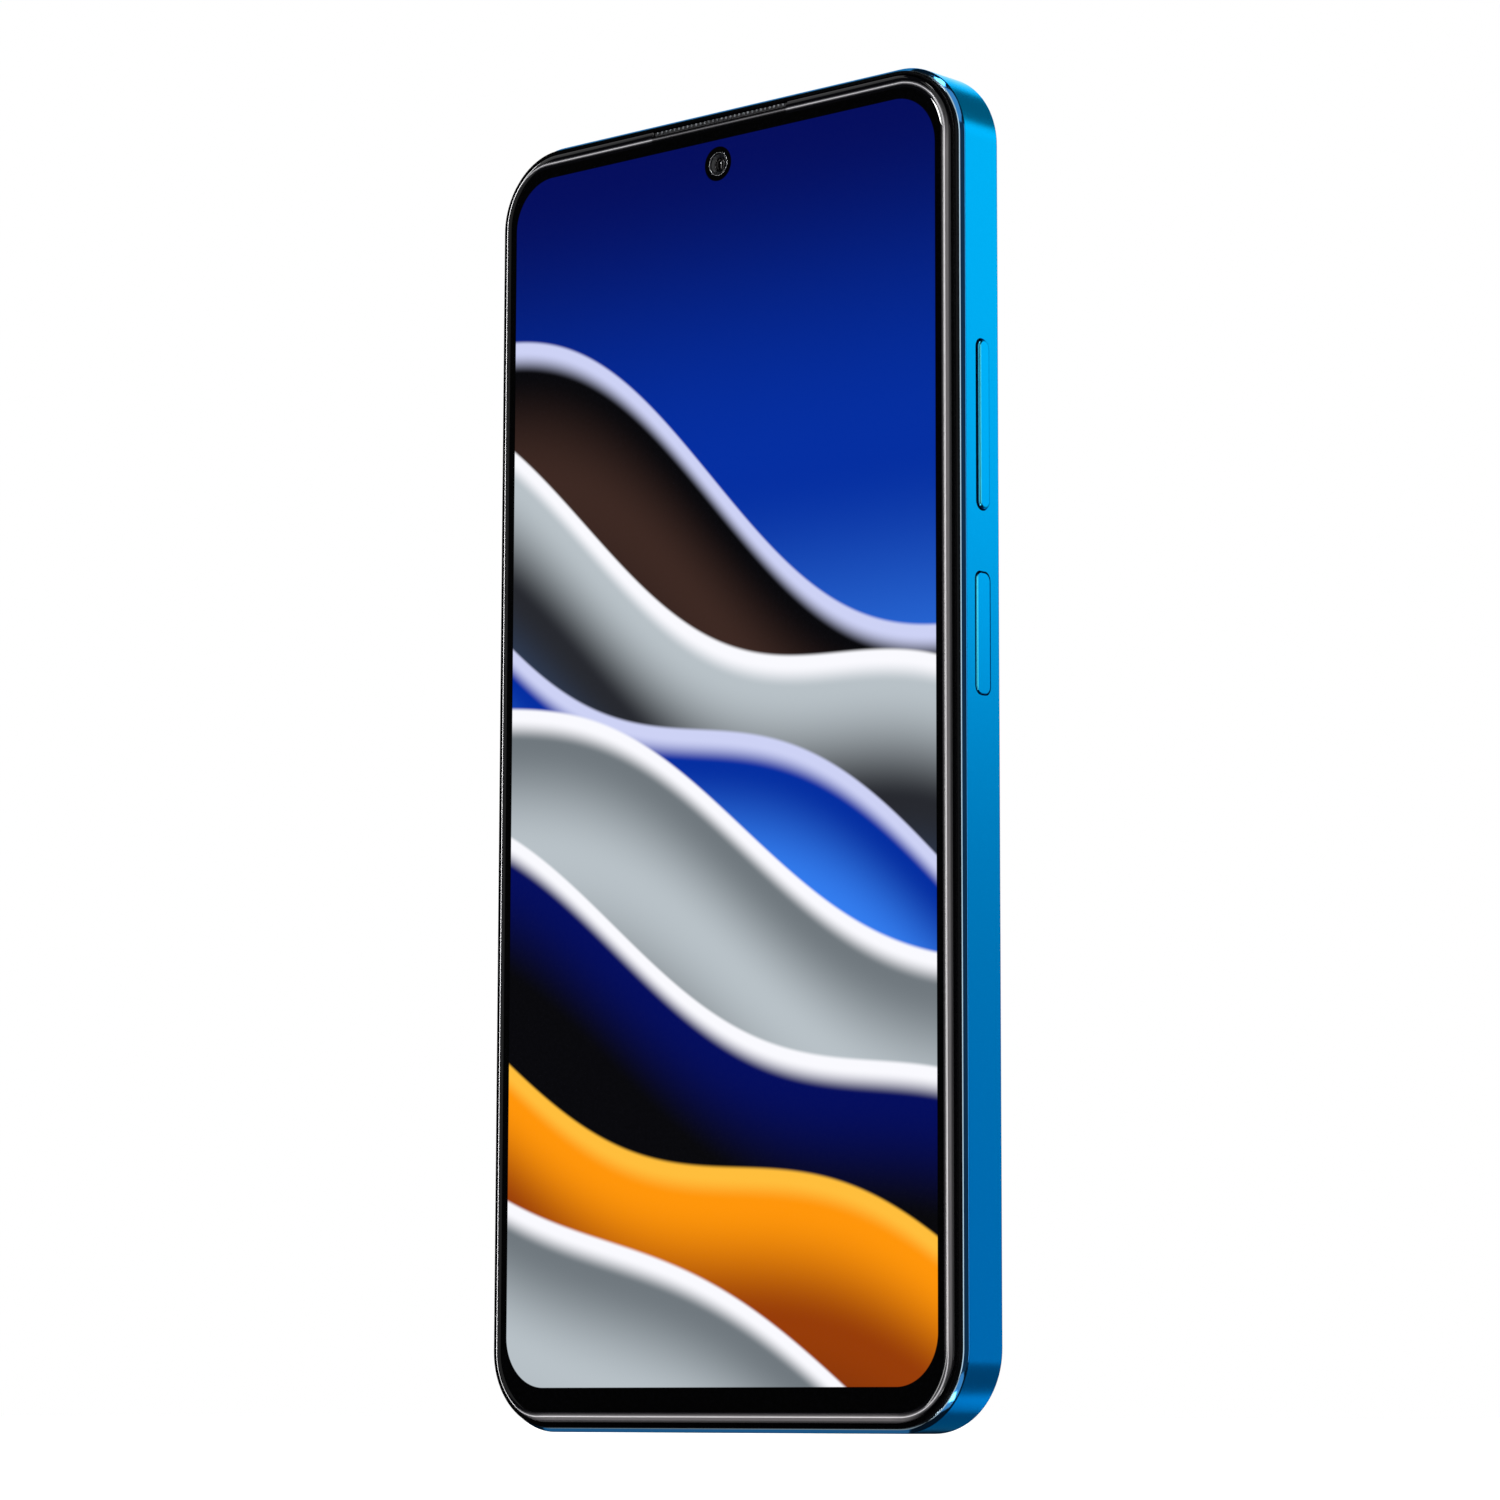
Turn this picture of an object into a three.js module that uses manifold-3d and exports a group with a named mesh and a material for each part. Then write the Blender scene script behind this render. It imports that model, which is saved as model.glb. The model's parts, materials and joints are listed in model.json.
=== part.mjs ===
// A smartphone, standing upright on its bottom edge.
// Millimetres. -Y is the screen side, +Y the back, +X the side with the keys, +Z the top.
// The origin is the middle of the bottom edge, half-way through the body's thickness.

import * as THREE from 'three';
import { mergeVertices } from 'three/addons/utils/BufferGeometryUtils.js';
import Module from 'manifold-3d';

const wasm = await Module();
wasm.setup();

// ---- Driving dimensions -------------------------------------------------------------

const WIDTH = 76.1;
const HEIGHT = 164.2;
const THICKNESS = 8.1;
const CORNER_RADIUS = 10;
const CORNER_SEGMENTS = 4;   // an arc of an outline has twice as many sides
const SMALL_ARC = 2;
const ROUND_SEGMENTS = 18;

const GAP = 0.05;   // between flat faces that lie against each other
const FIT = 0.15;   // round a piece that sits in a hole
const PAST = 1;     // how far a cutting solid runs past the face that it cuts

// The stack through the thickness, from the glass to the rear cover.
const GLASS_THICKNESS = 0.7;
const PANEL_THICKNESS = 0.9;
const MIDPLATE_THICKNESS = 0.8;
const REAR_COVER_THICKNESS = 0.8;
const BOARD_THICKNESS = 0.7;
const ADHESIVE_THICKNESS = 0.1;
const GLASS_ABOVE_FRAME = 1.2;
const BEZEL_ABOVE_FRAME = 0.7;

const FRONT = -THICKNESS / 2;
const BACK = THICKNESS / 2;
const GLASS_BACK = FRONT + GLASS_THICKNESS;
const PANEL_FRONT = GLASS_BACK + GAP;
const PANEL_BACK = PANEL_FRONT + PANEL_THICKNESS;
const MIDPLATE_FRONT = PANEL_BACK + GAP;
const MIDPLATE_BACK = MIDPLATE_FRONT + MIDPLATE_THICKNESS;
const BAY_FRONT = MIDPLATE_BACK + GAP;
const REAR_COVER_FRONT = BACK - REAR_COVER_THICKNESS;
const LEDGE = REAR_COVER_FRONT - 2 * GAP - ADHESIVE_THICKNESS;
const FRAME_FRONT = FRONT + GLASS_ABOVE_FRAME;
const BOARD_FRONT = BAY_FRONT + 0.2;
const BOARD_BACK = BOARD_FRONT + BOARD_THICKNESS;
const SIDE_CENTRE = (FRAME_FRONT + 0.52 + BACK) / 2;   // middle of the flat side band

// Insets from the outer face of the frame, all round.
const WALL = 1.9;
const REAR_LIP = 1.0;
const BEZEL_OUTER = 0.58;
const BEZEL_STEP = 1.12;
const BEZEL_INNER = 2.45;
const GLASS_INSET = 1.2;
const PANEL_INSET = 2.6;
const INNER_X = WIDTH / 2 - WALL;

// Keys on the +X side.
const VOLUME = { z: 119.35, length: 20.6, width: 2.0, proud: 0.35, corner: 0.99 };
const POWER = { z: 94.1, length: 14.6, width: 2.6, proud: -0.08, corner: 1.0 };
const DOME_OFFSET = 8;
const SWITCH_FACE = 34.75;

// Card tray on the -X side, and its ejector.
const TRAY = { bottom: 120.5, top: 137.5, y: 0.6, width: 1.9 };
const CARRIER = { inner: -11, bottom: 121.2, top: 133.8, front: 0.0, back: 0.8 };
const EJECT = { y: 0.5, z: 135.6, pivotX: -8.3, pivotZ: 128.5, rodInner: -9.25 };

// Bottom edge, -Z side.
const USB = { width: 8.9, height: 3.2, depth: 7.4, wall: 0.3 };
const SPEAKER = { x: 20, holes: 6, pitch: 2.3, radius: 0.65 };
const MAIN_MIC_X = -12;

// Top edge, +Z side.
const JACK = { x: -26.2, y: 0.7, radius: 2.1, bore: 1.78, length: 14 };
const IR_X = -21.4;
const TOP_MIC_X = 5.4;

// Front camera and earpiece.
const FRONT_CAMERA_Z = 156.9;
const FRONT_CAMERA_HOLE = 2.2;
const EARPIECE = { length: 22.4, inset: 1.95 };

// Rear cameras.
const ISLAND = { x: 20.5, z: 143, width: 27, height: 33, corner: 7, proud: 1.5 };
const ISLAND_BACK = BACK + ISLAND.proud;
const MAIN_CAMERA = { x: 25.6, z: 150.4, body: 11.6, barrel: 3.4, window: 5.2 };
const WIDE_CAMERA = { x: 25.6, z: 136.0, body: 9.0, barrel: 3.1, window: 5.2 };
const MACRO_CAMERA = { x: 13.4, z: 136.0, body: 6.2, barrel: 1.9, window: 3.0 };
const FLASH = { x: 13.4, z: 150.4, body: 3.2, barrel: 1.6, window: 2.6 };

const BATTERY = { left: -32.6, right: 32.8, bottom: 36, top: 109, front: BAY_FRONT, back: 2.85 };
const MOTOR = { x: 1, z: 30.6, radius: 4, wall: 0.3, height: 3 };

const UPPER_BRACKET = { front: 1.4, back: 2.2 };
const LOWER_BRACKET = { front: 2.55, back: 3.0 };
const UPPER_SCREWS = [[-6, 120.2], [-7, 148], [-20, 146], [31, 126.4]];
const LOWER_SCREWS = [[-31.2, 6.6], [-31.2, 22], [-8, 6.4], [6.6, 22]];
const SCREW = { shank: 0.6, head: 1.2, headHeight: 0.35, bite: 0.9 };
const BOSS_RADIUS = 1.5;

// ---- Materials ----------------------------------------------------------------------

function material(color, roughness, metalness) {
  return new THREE.MeshStandardMaterial({ color, roughness, metalness });
}

const blueMetal = material(0x0a7cc4, 0.3, 0.8);
const darkAlloy = material(0x55585c, 0.5, 0.8);
const blackPlastic = material(0x0b0b0d, 0.45, 0);
const greyPlastic = material(0x3b3d42, 0.6, 0);
const glass = material(0x06070a, 0.05, 0);
const panelBlack = material(0x14161a, 0.3, 0);
const rearBlue = material(0x0c5f9f, 0.25, 0.2);
const clearGlass = material(0x1a2233, 0.05, 0);
const lensBlack = material(0x101114, 0.2, 0.1);
const steel = material(0xb9bcc0, 0.3, 1);
const copper = material(0xb87443, 0.35, 1);
const circuitBoard = material(0x12402c, 0.6, 0);
const flexAmber = material(0x6d3a12, 0.5, 0);
const cellWrap = material(0x202226, 0.5, 0.1);
const rubber = material(0x1c1c1e, 0.9, 0);
const diffuser = material(0xe9e6d2, 0.3, 0);

// ---- Solids -------------------------------------------------------------------------

const X = new THREE.Vector3(1, 0, 0);
const Y = new THREE.Vector3(0, 1, 0);
const Z = new THREE.Vector3(0, 0, 1);

// How a drawn outline stands for each direction of extrusion: along x the outline is
// drawn in (Y, Z), along y in (X, Z) and along z in (X, Y).
const FACING = {
  x: new THREE.Matrix4().makeBasis(Y, Z, X),
  y: new THREE.Matrix4().makeBasis(X, Z, Y.clone().negate()),
  z: new THREE.Matrix4(),
};

function solid(geometry) {
  const bare = geometry.clone();
  bare.deleteAttribute('normal');
  bare.deleteAttribute('uv');
  const merged = mergeVertices(bare, 1e-4);
  return new wasm.Manifold(new wasm.Mesh({
    numProp: 3,
    vertProperties: new Float32Array(merged.attributes.position.array),
    triVerts: new Uint32Array(merged.index.array),
  }));
}

function geometryOf(body) {
  const { vertProperties, triVerts } = body.getMesh();
  const geometry = new THREE.BufferGeometry();
  geometry.setAttribute('position', new THREE.BufferAttribute(vertProperties, 3));
  geometry.setIndex(new THREE.BufferAttribute(triVerts, 1));
  geometry.computeVertexNormals();
  return geometry;
}

function roundedRect(width, height, radius, x = 0, y = 0) {
  const r = Math.min(radius, width / 2 - 0.02, height / 2 - 0.02);
  const [left, right] = [x - width / 2 + r, x + width / 2 - r];
  const [low, high] = [y - height / 2 + r, y + height / 2 - r];
  const shape = new THREE.Shape();
  shape.absarc(right, low, r, -Math.PI / 2, 0);
  shape.absarc(right, high, r, 0, Math.PI / 2);
  shape.absarc(left, high, r, Math.PI / 2, Math.PI);
  shape.absarc(left, low, r, Math.PI, 1.5 * Math.PI);
  shape.closePath();
  return shape;
}

// The phone's outline, drawn in by an inset all round.
function outline(inset) {
  return roundedRect(WIDTH - 2 * inset, HEIGHT - 2 * inset, CORNER_RADIUS - inset, 0, HEIGHT / 2);
}

function polygon(points) {
  return new THREE.Shape(points.map(([x, y]) => new THREE.Vector2(x, y)));
}

function extrudeGeometry(shape, axis, low, high, options = {}) {
  const settings = { depth: high - low, bevelEnabled: false, curveSegments: CORNER_SEGMENTS };
  const geometry = new THREE.ExtrudeGeometry(shape, { ...settings, ...options });
  geometry.applyMatrix4(FACING[axis]);
  if (axis === 'x') geometry.translate(low, 0, 0);
  if (axis === 'y') geometry.translate(0, high, 0);
  if (axis === 'z') geometry.translate(0, 0, low);
  return geometry;
}

function prism(shape, axis, low, high, curveSegments = CORNER_SEGMENTS) {
  return solid(extrudeGeometry(shape, axis, low, high, { curveSegments }));
}

// A plate between two Y levels whose edge is bevelled on one face, as [width, depth, steps].
function bevelledPlate(shape, front, back, { frontBevel, backBevel }) {
  const [size, depth, steps] = frontBevel ?? backBevel;
  const spare = 3;
  const low = front + (frontBevel ? depth : -spare);
  const high = back - (backBevel ? depth : -spare);
  const options = {
    bevelEnabled: true, bevelSize: size, bevelOffset: -size, bevelThickness: depth, bevelSegments: steps,
  };
  const blank = solid(extrudeGeometry(shape, 'y', low, high, options));
  const reach = 2 * HEIGHT;
  return blank.intersect(block(-reach, reach, front, back, -reach, reach));
}

function block(x0, x1, y0, y1, z0, z1) {
  const geometry = new THREE.BoxGeometry(x1 - x0, y1 - y0, z1 - z0);
  geometry.translate((x0 + x1) / 2, (y0 + y1) / 2, (z0 + z1) / 2);
  return solid(geometry);
}

// A round bar along an axis; across gives its centre in the other two coordinates, in order.
function bar(axis, across, radius, low, high, segments = ROUND_SEGMENTS) {
  const geometry = new THREE.CylinderGeometry(radius, radius, high - low, segments);
  const middle = (low + high) / 2;
  if (axis === 'x') geometry.rotateZ(-Math.PI / 2).translate(middle, across[0], across[1]);
  if (axis === 'y') geometry.translate(across[0], middle, across[1]);
  if (axis === 'z') geometry.rotateX(Math.PI / 2).translate(across[0], across[1], middle);
  return solid(geometry);
}

// A flat strip of constant thickness that follows a path drawn in (Y, Z), across x0 to x1.
function ribbon(path, thickness, x0, x1) {
  const points = path.map(([y, z]) => new THREE.Vector2(y, z));
  const side = (sign) => points.map((point, i) => {
    const before = points[Math.max(i - 1, 0)];
    const after = points[Math.min(i + 1, points.length - 1)];
    const into = (i > 0 ? point.clone().sub(before) : after.clone().sub(point)).normalize();
    const out = (i < points.length - 1 ? after.clone().sub(point) : into.clone()).normalize();
    const along = into.clone().add(out).normalize();
    const reach = (sign * thickness) / 2 / along.dot(into);
    return point.clone().add(new THREE.Vector2(-along.y, along.x).multiplyScalar(reach));
  });
  const shape = new THREE.Shape([...side(1), ...side(-1).reverse()]);
  return prism(shape, 'x', x0, x1);
}

// Adds pieces to a body, or cuts them out of it.
const join = (body, pieces) => pieces.reduce((sum, piece) => sum.add(piece), body);
const cut = (body, tools) => tools.reduce((rest, tool) => rest.subtract(tool), body);

// A named piece. A piece drawn about its own centre is put in place by position.
function piece(name, body, finish, position = [0, 0, 0]) {
  const mesh = new THREE.Mesh(geometryOf(body), finish);
  mesh.name = name;
  mesh.position.set(...position);
  return mesh;
}

// ---- Outer shells -------------------------------------------------------------------

function keySlot({ z, length, width, corner }) {
  const shape = roundedRect(width + 2 * FIT, length + 2 * FIT, corner + FIT, SIDE_CENTRE, z);
  return prism(shape, 'x', INNER_X - PAST, WIDTH / 2 + PAST, 3);
}

function sideFrame() {
  const chamfered = bevelledPlate(outline(0), FRAME_FRONT, BACK, { frontBevel: [0.53, 0.52, 1] });
  const backEased = bevelledPlate(outline(0), FRAME_FRONT, BACK, { backBevel: [0.2, 0.2, 1] });
  const ring = cut(chamfered.intersect(backEased), [
    prism(outline(WALL), 'y', FRAME_FRONT - PAST, BACK + PAST),
    prism(outline(REAR_LIP), 'y', LEDGE, BACK + PAST),
  ]);
  const trayMiddle = (TRAY.bottom + TRAY.top) / 2;
  const traySlot = roundedRect(TRAY.width + 0.2, TRAY.top - TRAY.bottom + 0.2, 1, TRAY.y, trayMiddle);
  const usbSlot = roundedRect(USB.width + 0.2, USB.height + 0.2, USB.height, 0, SIDE_CENTRE);
  const speakerHoles = Array.from({ length: SPEAKER.holes }, (_, i) => {
    const x = SPEAKER.x + (i - (SPEAKER.holes - 1) / 2) * SPEAKER.pitch;
    return bar('z', [x, SIDE_CENTRE], SPEAKER.radius, -PAST, WALL + PAST, 10);
  });
  const throughTop = (x, y, radius) => bar('z', [x, y], radius, HEIGHT - WALL - PAST, HEIGHT + PAST, 16);
  const duct = HEIGHT - WALL;
  return piece('side_frame', cut(ring, [
    keySlot(VOLUME),
    keySlot(POWER),
    prism(traySlot, 'x', -WIDTH / 2 - PAST, -INNER_X + PAST, 3),
    prism(usbSlot, 'z', -PAST, WALL + PAST),
    ...speakerHoles,
    bar('z', [MAIN_MIC_X, SIDE_CENTRE], 0.5, -PAST, WALL + PAST, 10),
    throughTop(JACK.x, JACK.y, JACK.radius + FIT),
    throughTop(IR_X, SIDE_CENTRE, 1.3),
    throughTop(TOP_MIC_X, SIDE_CENTRE, 0.5),
    block(-15, 10, FRAME_FRONT - PAST, BAY_FRONT, duct - PAST, duct + 0.6),
  ]), blueMetal);
}

function frontBezel() {
  const step = FRAME_FRONT - BEZEL_ABOVE_FRAME;
  const rim = bevelledPlate(outline(BEZEL_OUTER), step, FRAME_FRONT - GAP, { frontBevel: [0.15, 0.15, 1] });
  const slot = HEIGHT - EARPIECE.inset + 0.3;
  return piece('front_bezel', cut(rim, [
    prism(outline(BEZEL_INNER), 'y', step - PAST, FRAME_FRONT + PAST),
    prism(outline(BEZEL_STEP), 'y', step - PAST, GLASS_BACK + GAP),
    prism(roundedRect(20, 0.4, 0.2, 0, slot), 'y', step - PAST, FRAME_FRONT + PAST, SMALL_ARC),
  ]), blackPlastic);
}

function coverGlass() {
  const sheet = bevelledPlate(outline(GLASS_INSET), FRONT, GLASS_BACK, { frontBevel: [0.95, 0.45, 3] });
  const notchHeight = 1.5;
  const notchZ = HEIGHT - EARPIECE.inset + notchHeight / 2;
  const notch = roundedRect(EARPIECE.length, notchHeight, 0.36, 0, notchZ);
  return piece('cover_glass', cut(sheet, [prism(notch, 'y', FRONT - PAST, GLASS_BACK + PAST, SMALL_ARC)]), glass);
}

function displayPanel() {
  const sheet = prism(outline(PANEL_INSET), 'y', PANEL_FRONT, PANEL_BACK);
  const hole = bar('y', [0, FRONT_CAMERA_Z], FRONT_CAMERA_HOLE, PANEL_FRONT - PAST, PANEL_BACK + PAST);
  return piece('display_panel', cut(sheet, [hole]), panelBlack);
}

function bosses(screws, top) {
  return screws.map(([x, z]) => bar('y', [x, z], BOSS_RADIUS, MIDPLATE_BACK - 0.1, top, 16));
}

function pilotHoles(screws, top) {
  return screws.map(([x, z]) => bar('y', [x, z], SCREW.shank + 0.1, top - SCREW.bite - 0.3, top + PAST, 10));
}

function midplate() {
  const sheet = prism(outline(WALL + 0.1), 'y', MIDPLATE_FRONT, MIDPLATE_BACK);
  const upper = UPPER_BRACKET.front - GAP;
  const lower = LOWER_BRACKET.front - GAP;
  const body = join(sheet, [...bosses(UPPER_SCREWS, upper), ...bosses(LOWER_SCREWS, lower)]);
  const through = [MIDPLATE_FRONT - PAST, MIDPLATE_BACK + PAST];
  return piece('midplate', cut(body, [
    ...pilotHoles(UPPER_SCREWS, upper),
    ...pilotHoles(LOWER_SCREWS, lower),
    bar('y', [0, FRONT_CAMERA_Z], FRONT_CAMERA_HOLE + 0.1, ...through),
    prism(roundedRect(15, 8.4, 1, 15, 31), 'y', ...through, SMALL_ARC),
  ]), darkAlloy);
}

function rearCover() {
  const sheet = bevelledPlate(outline(REAR_LIP + 0.1), REAR_COVER_FRONT, BACK, { backBevel: [0.6, 0.25, 2] });
  const holes = [MAIN_CAMERA, WIDE_CAMERA, MACRO_CAMERA, FLASH].map(({ x, z, barrel }) =>
    bar('y', [x, z], barrel + 0.6, REAR_COVER_FRONT - PAST, BACK + PAST));
  return piece('rear_cover', cut(sheet, holes), rearBlue);
}

function coverAdhesive() {
  const ring = prism(outline(REAR_LIP + 0.15), 'y', LEDGE + GAP, LEDGE + GAP + ADHESIVE_THICKNESS, 3);
  const inner = prism(outline(WALL), 'y', LEDGE - PAST, LEDGE + PAST, 3);
  return piece('rear_cover_adhesive', cut(ring, [inner]), rubber);
}

// ---- Rear cameras -------------------------------------------------------------------

const WINDOW_THICKNESS = 0.5;

function cameraIsland() {
  const shape = roundedRect(ISLAND.width, ISLAND.height, ISLAND.corner, ISLAND.x, ISLAND.z);
  const plate = bevelledPlate(shape, BACK + GAP, ISLAND_BACK, { backBevel: [0.5, 0.5, 2] });
  const seat = ISLAND_BACK - GAP - WINDOW_THICKNESS - GAP;
  const openings = [MAIN_CAMERA, WIDE_CAMERA, MACRO_CAMERA, FLASH].flatMap(({ x, z, barrel, window }) => [
    bar('y', [x, z], barrel + 0.6, BACK - PAST, ISLAND_BACK + PAST),
    bar('y', [x, z], window + 0.1, seat, ISLAND_BACK + PAST, 24),
  ]);
  return piece('camera_island', cut(plate, openings), rearBlue);
}

function lensWindow(name, camera) {
  const back = ISLAND_BACK - GAP;
  const disc = bar('y', [0, 0], camera.window, back - WINDOW_THICKNESS, back, 24);
  return piece(name, disc, clearGlass, [camera.x, 0, camera.z]);
}

function flashLens() {
  const back = ISLAND_BACK - GAP;
  const disc = bar('y', [0, 0], FLASH.window, back - WINDOW_THICKNESS, back);
  const stem = bar('y', [0, 0], FLASH.barrel, REAR_COVER_FRONT, back - WINDOW_THICKNESS + 0.1);
  return piece('flash_lens', disc.add(stem), diffuser, [FLASH.x, 0, FLASH.z]);
}

function flashLed() {
  const half = FLASH.body / 2;
  const body = block(-half, half, BAY_FRONT, REAR_COVER_FRONT - 0.4, -half, half);
  const chip = block(-0.9, 0.9, REAR_COVER_FRONT - 0.5, REAR_COVER_FRONT - 0.1, -0.9, 0.9);
  return piece('flash_led', body.add(chip), diffuser, [FLASH.x, 0, FLASH.z]);
}

function mainCameraHousing() {
  const half = MAIN_CAMERA.body / 2;
  const box = block(-half, half, BAY_FRONT, REAR_COVER_FRONT - 0.3, -half, half);
  const bore = bar('y', [0, 0], MAIN_CAMERA.barrel + 0.3, -0.6, REAR_COVER_FRONT + PAST, 24);
  return piece('main_camera_housing', cut(box, [bore]), lensBlack, [MAIN_CAMERA.x, 0, MAIN_CAMERA.z]);
}

// The barrel that focuses by sliding in and out of its housing.
function mainCameraLens() {
  const profile = [[0, -0.2], [3.4, -0.2], [3.4, 3.9], [3.0, 4.3], [1.9, 4.3], [1.2, 3.9], [0, 3.7]];
  const lens = new THREE.LatheGeometry(profile.map(([r, y]) => new THREE.Vector2(r, y)), 24);
  return piece('main_camera_lens', solid(lens), lensBlack, [MAIN_CAMERA.x, 0, MAIN_CAMERA.z]);
}

function fixedCamera(name, camera) {
  const half = camera.body / 2;
  const box = block(-half, half, BAY_FRONT, REAR_COVER_FRONT - 0.5, -half, half);
  const barrel = bar('y', [0, 0], camera.barrel, REAR_COVER_FRONT - 0.6, BACK + 0.5);
  const cone = new THREE.CylinderGeometry(camera.barrel * 0.7, camera.barrel * 0.3, 0.5, ROUND_SEGMENTS);
  cone.translate(0, BACK + 0.35, 0);
  return piece(name, cut(box.add(barrel), [solid(cone)]), lensBlack, [camera.x, 0, camera.z]);
}

// ---- Front camera and earpiece --------------------------------------------------------

function frontCamera() {
  const box = block(-3.2, 3.2, BAY_FRONT, 2.2, -3.2, 3.2);
  const barrel = bar('y', [0, 0], FRONT_CAMERA_HOLE - 0.3, PANEL_FRONT + GAP, BAY_FRONT + 0.1);
  return piece('front_camera', box.add(barrel), lensBlack, [0, 0, FRONT_CAMERA_Z]);
}

function earpieceSpeaker() {
  const box = block(-19.4, -6.4, BAY_FRONT, 1.1, 154, HEIGHT - WALL - 0.2);
  return piece('earpiece_speaker', box, lensBlack);
}

function earpieceMesh() {
  const length = EARPIECE.length - 0.4;
  const height = 0.5;
  const bottom = HEIGHT - EARPIECE.inset + 0.1;
  const shape = roundedRect(length, height, 0.2, 0, bottom + height / 2);
  return piece('earpiece_mesh', prism(shape, 'y', GLASS_BACK - 0.4, GLASS_BACK - GAP, SMALL_ARC), steel);
}

// ---- Keys -----------------------------------------------------------------------------

// A key's cap stands in its slot and a wider flange behind the wall keeps it in.
// Plungers on the flange reach for the dome switches.
function sideKey(name, key, flangeGap, plungers) {
  const flangeOuter = INNER_X - flangeGap;
  const flangeInner = flangeOuter - 0.5;
  const cap = roundedRect(key.width, key.length, key.corner, 0, 0);
  const flange = roundedRect(key.width + 1, key.length + 2, 0.6, 0, 0);
  const body = join(prism(cap, 'x', flangeOuter - 0.1, WIDTH / 2 + key.proud), [
    prism(flange, 'x', flangeInner, flangeOuter, 1),
    ...plungers.map((z) => bar('x', [0, z], 0.6, SWITCH_FACE + 0.3, flangeInner + 0.1, 10)),
  ]);
  return piece(name, body, blueMetal, [0, SIDE_CENTRE, key.z]);
}

function sideKeyFlex() {
  const faceBack = SWITCH_FACE - 0.5;
  const strip = block(faceBack - 0.2, faceBack, SIDE_CENTRE - 1.4, SIDE_CENTRE + 1.4, 84, 131);
  const domes = [VOLUME.z + DOME_OFFSET, VOLUME.z - DOME_OFFSET, POWER.z].map((z) =>
    bar('x', [SIDE_CENTRE, z], 1.2, faceBack - 0.1, SWITCH_FACE, 14));
  return piece('side_key_flex', join(strip, domes), flexAmber);
}

// ---- Card tray and ejector --------------------------------------------------------------

function simTray() {
  const middle = (TRAY.bottom + TRAY.top) / 2;
  const outer = -WIDTH / 2;
  const capShape = roundedRect(TRAY.width, TRAY.top - TRAY.bottom, 0.9, TRAY.y, middle);
  const neckShape = roundedRect(1.2, TRAY.top - TRAY.bottom - 1.4, 0.4, TRAY.y, middle);
  const body = join(prism(capShape, 'x', outer, outer + 1.1), [
    prism(neckShape, 'x', outer + 1.0, outer + 2.0, SMALL_ARC),
    block(outer + 1.9, CARRIER.inner, CARRIER.front, CARRIER.back, CARRIER.bottom, CARRIER.top),
  ]);
  const cardLength = 11.3;
  const cards = [0, 1].map((i) => {
    const left = outer + 2.6 + i * (cardLength + 1);
    const [bottom, top] = [CARRIER.bottom + 1.6, CARRIER.top - 1.6];
    return block(left, left + cardLength, CARRIER.front + 0.25, CARRIER.back + PAST, bottom, top);
  });
  const windows = [0, 1].map((i) => {
    const left = outer + 4.4 + i * (cardLength + 1);
    const [bottom, top] = [CARRIER.bottom + 3, CARRIER.top - 3];
    return block(left, left + cardLength - 3.6, CARRIER.front - PAST, CARRIER.back, bottom, top);
  });
  const pinHole = bar('x', [EJECT.y, EJECT.z], 0.45, outer - PAST, outer + 2.0 + PAST, 12);
  return piece('sim_tray', cut(body, [...cards, ...windows, pinHole]), blueMetal);
}

function simTraySeal() {
  const middle = (TRAY.bottom + TRAY.top) / 2;
  const length = TRAY.top - TRAY.bottom;
  const [low, high] = [-WIDTH / 2 + 1.2, -WIDTH / 2 + 1.75];
  const ring = prism(roundedRect(TRAY.width - 0.1, length - 0.1, 0.8, TRAY.y, middle), 'x', low, high, SMALL_ARC);
  const neck = roundedRect(1.3, length - 1.3, 0.45, TRAY.y, middle);
  return piece('sim_tray_seal', cut(ring, [prism(neck, 'x', low - PAST, high + PAST, SMALL_ARC)]), rubber);
}

// A sheet-metal cage, open towards the side wall, with the lever's pin on its base.
function simReader() {
  const base = BOARD_BACK + GAP;
  const cage = block(-34.6, CARRIER.inner + 0.9, base, 1.15, CARRIER.bottom - 0.5, CARRIER.top + 0.5);
  const slot = block(-34.6 - PAST, CARRIER.inner + 0.9 + PAST, CARRIER.front - 0.1, CARRIER.back + 0.1,
    CARRIER.bottom - 0.15, CARRIER.top + 0.15);
  const shelf = block(CARRIER.inner, EJECT.pivotX + 1.3, base, base + 0.3, 123, CARRIER.top);
  const pin = bar('y', [EJECT.pivotX, EJECT.pivotZ], 0.4, base + 0.2, 0.9, 12);
  return piece('sim_reader', join(cut(cage, [slot]), [shelf, pin]), steel);
}

function ejectRod() {
  return piece('eject_rod', bar('x', [EJECT.y, EJECT.z], 0.35, -35.9, EJECT.rodInner, 12), steel);
}

function ejectLever() {
  const arm = roundedRect(1.4, 12.6, 0.7, 0, 1.3);
  const plate = prism(arm, 'y', EJECT.y - 0.3, EJECT.y + 0.3, 3);
  const eye = bar('y', [0, 0], 0.5, EJECT.y - PAST, EJECT.y + PAST, 12);
  return piece('eject_lever', cut(plate, [eye]), steel, [EJECT.pivotX, 0, EJECT.pivotZ]);
}

// ---- Boards and shields -----------------------------------------------------------------

function bossClearance(screws, front, back) {
  return screws.map(([x, z]) => bar('y', [x, z], BOSS_RADIUS + 0.15, front - PAST, back + PAST, 16));
}

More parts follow.
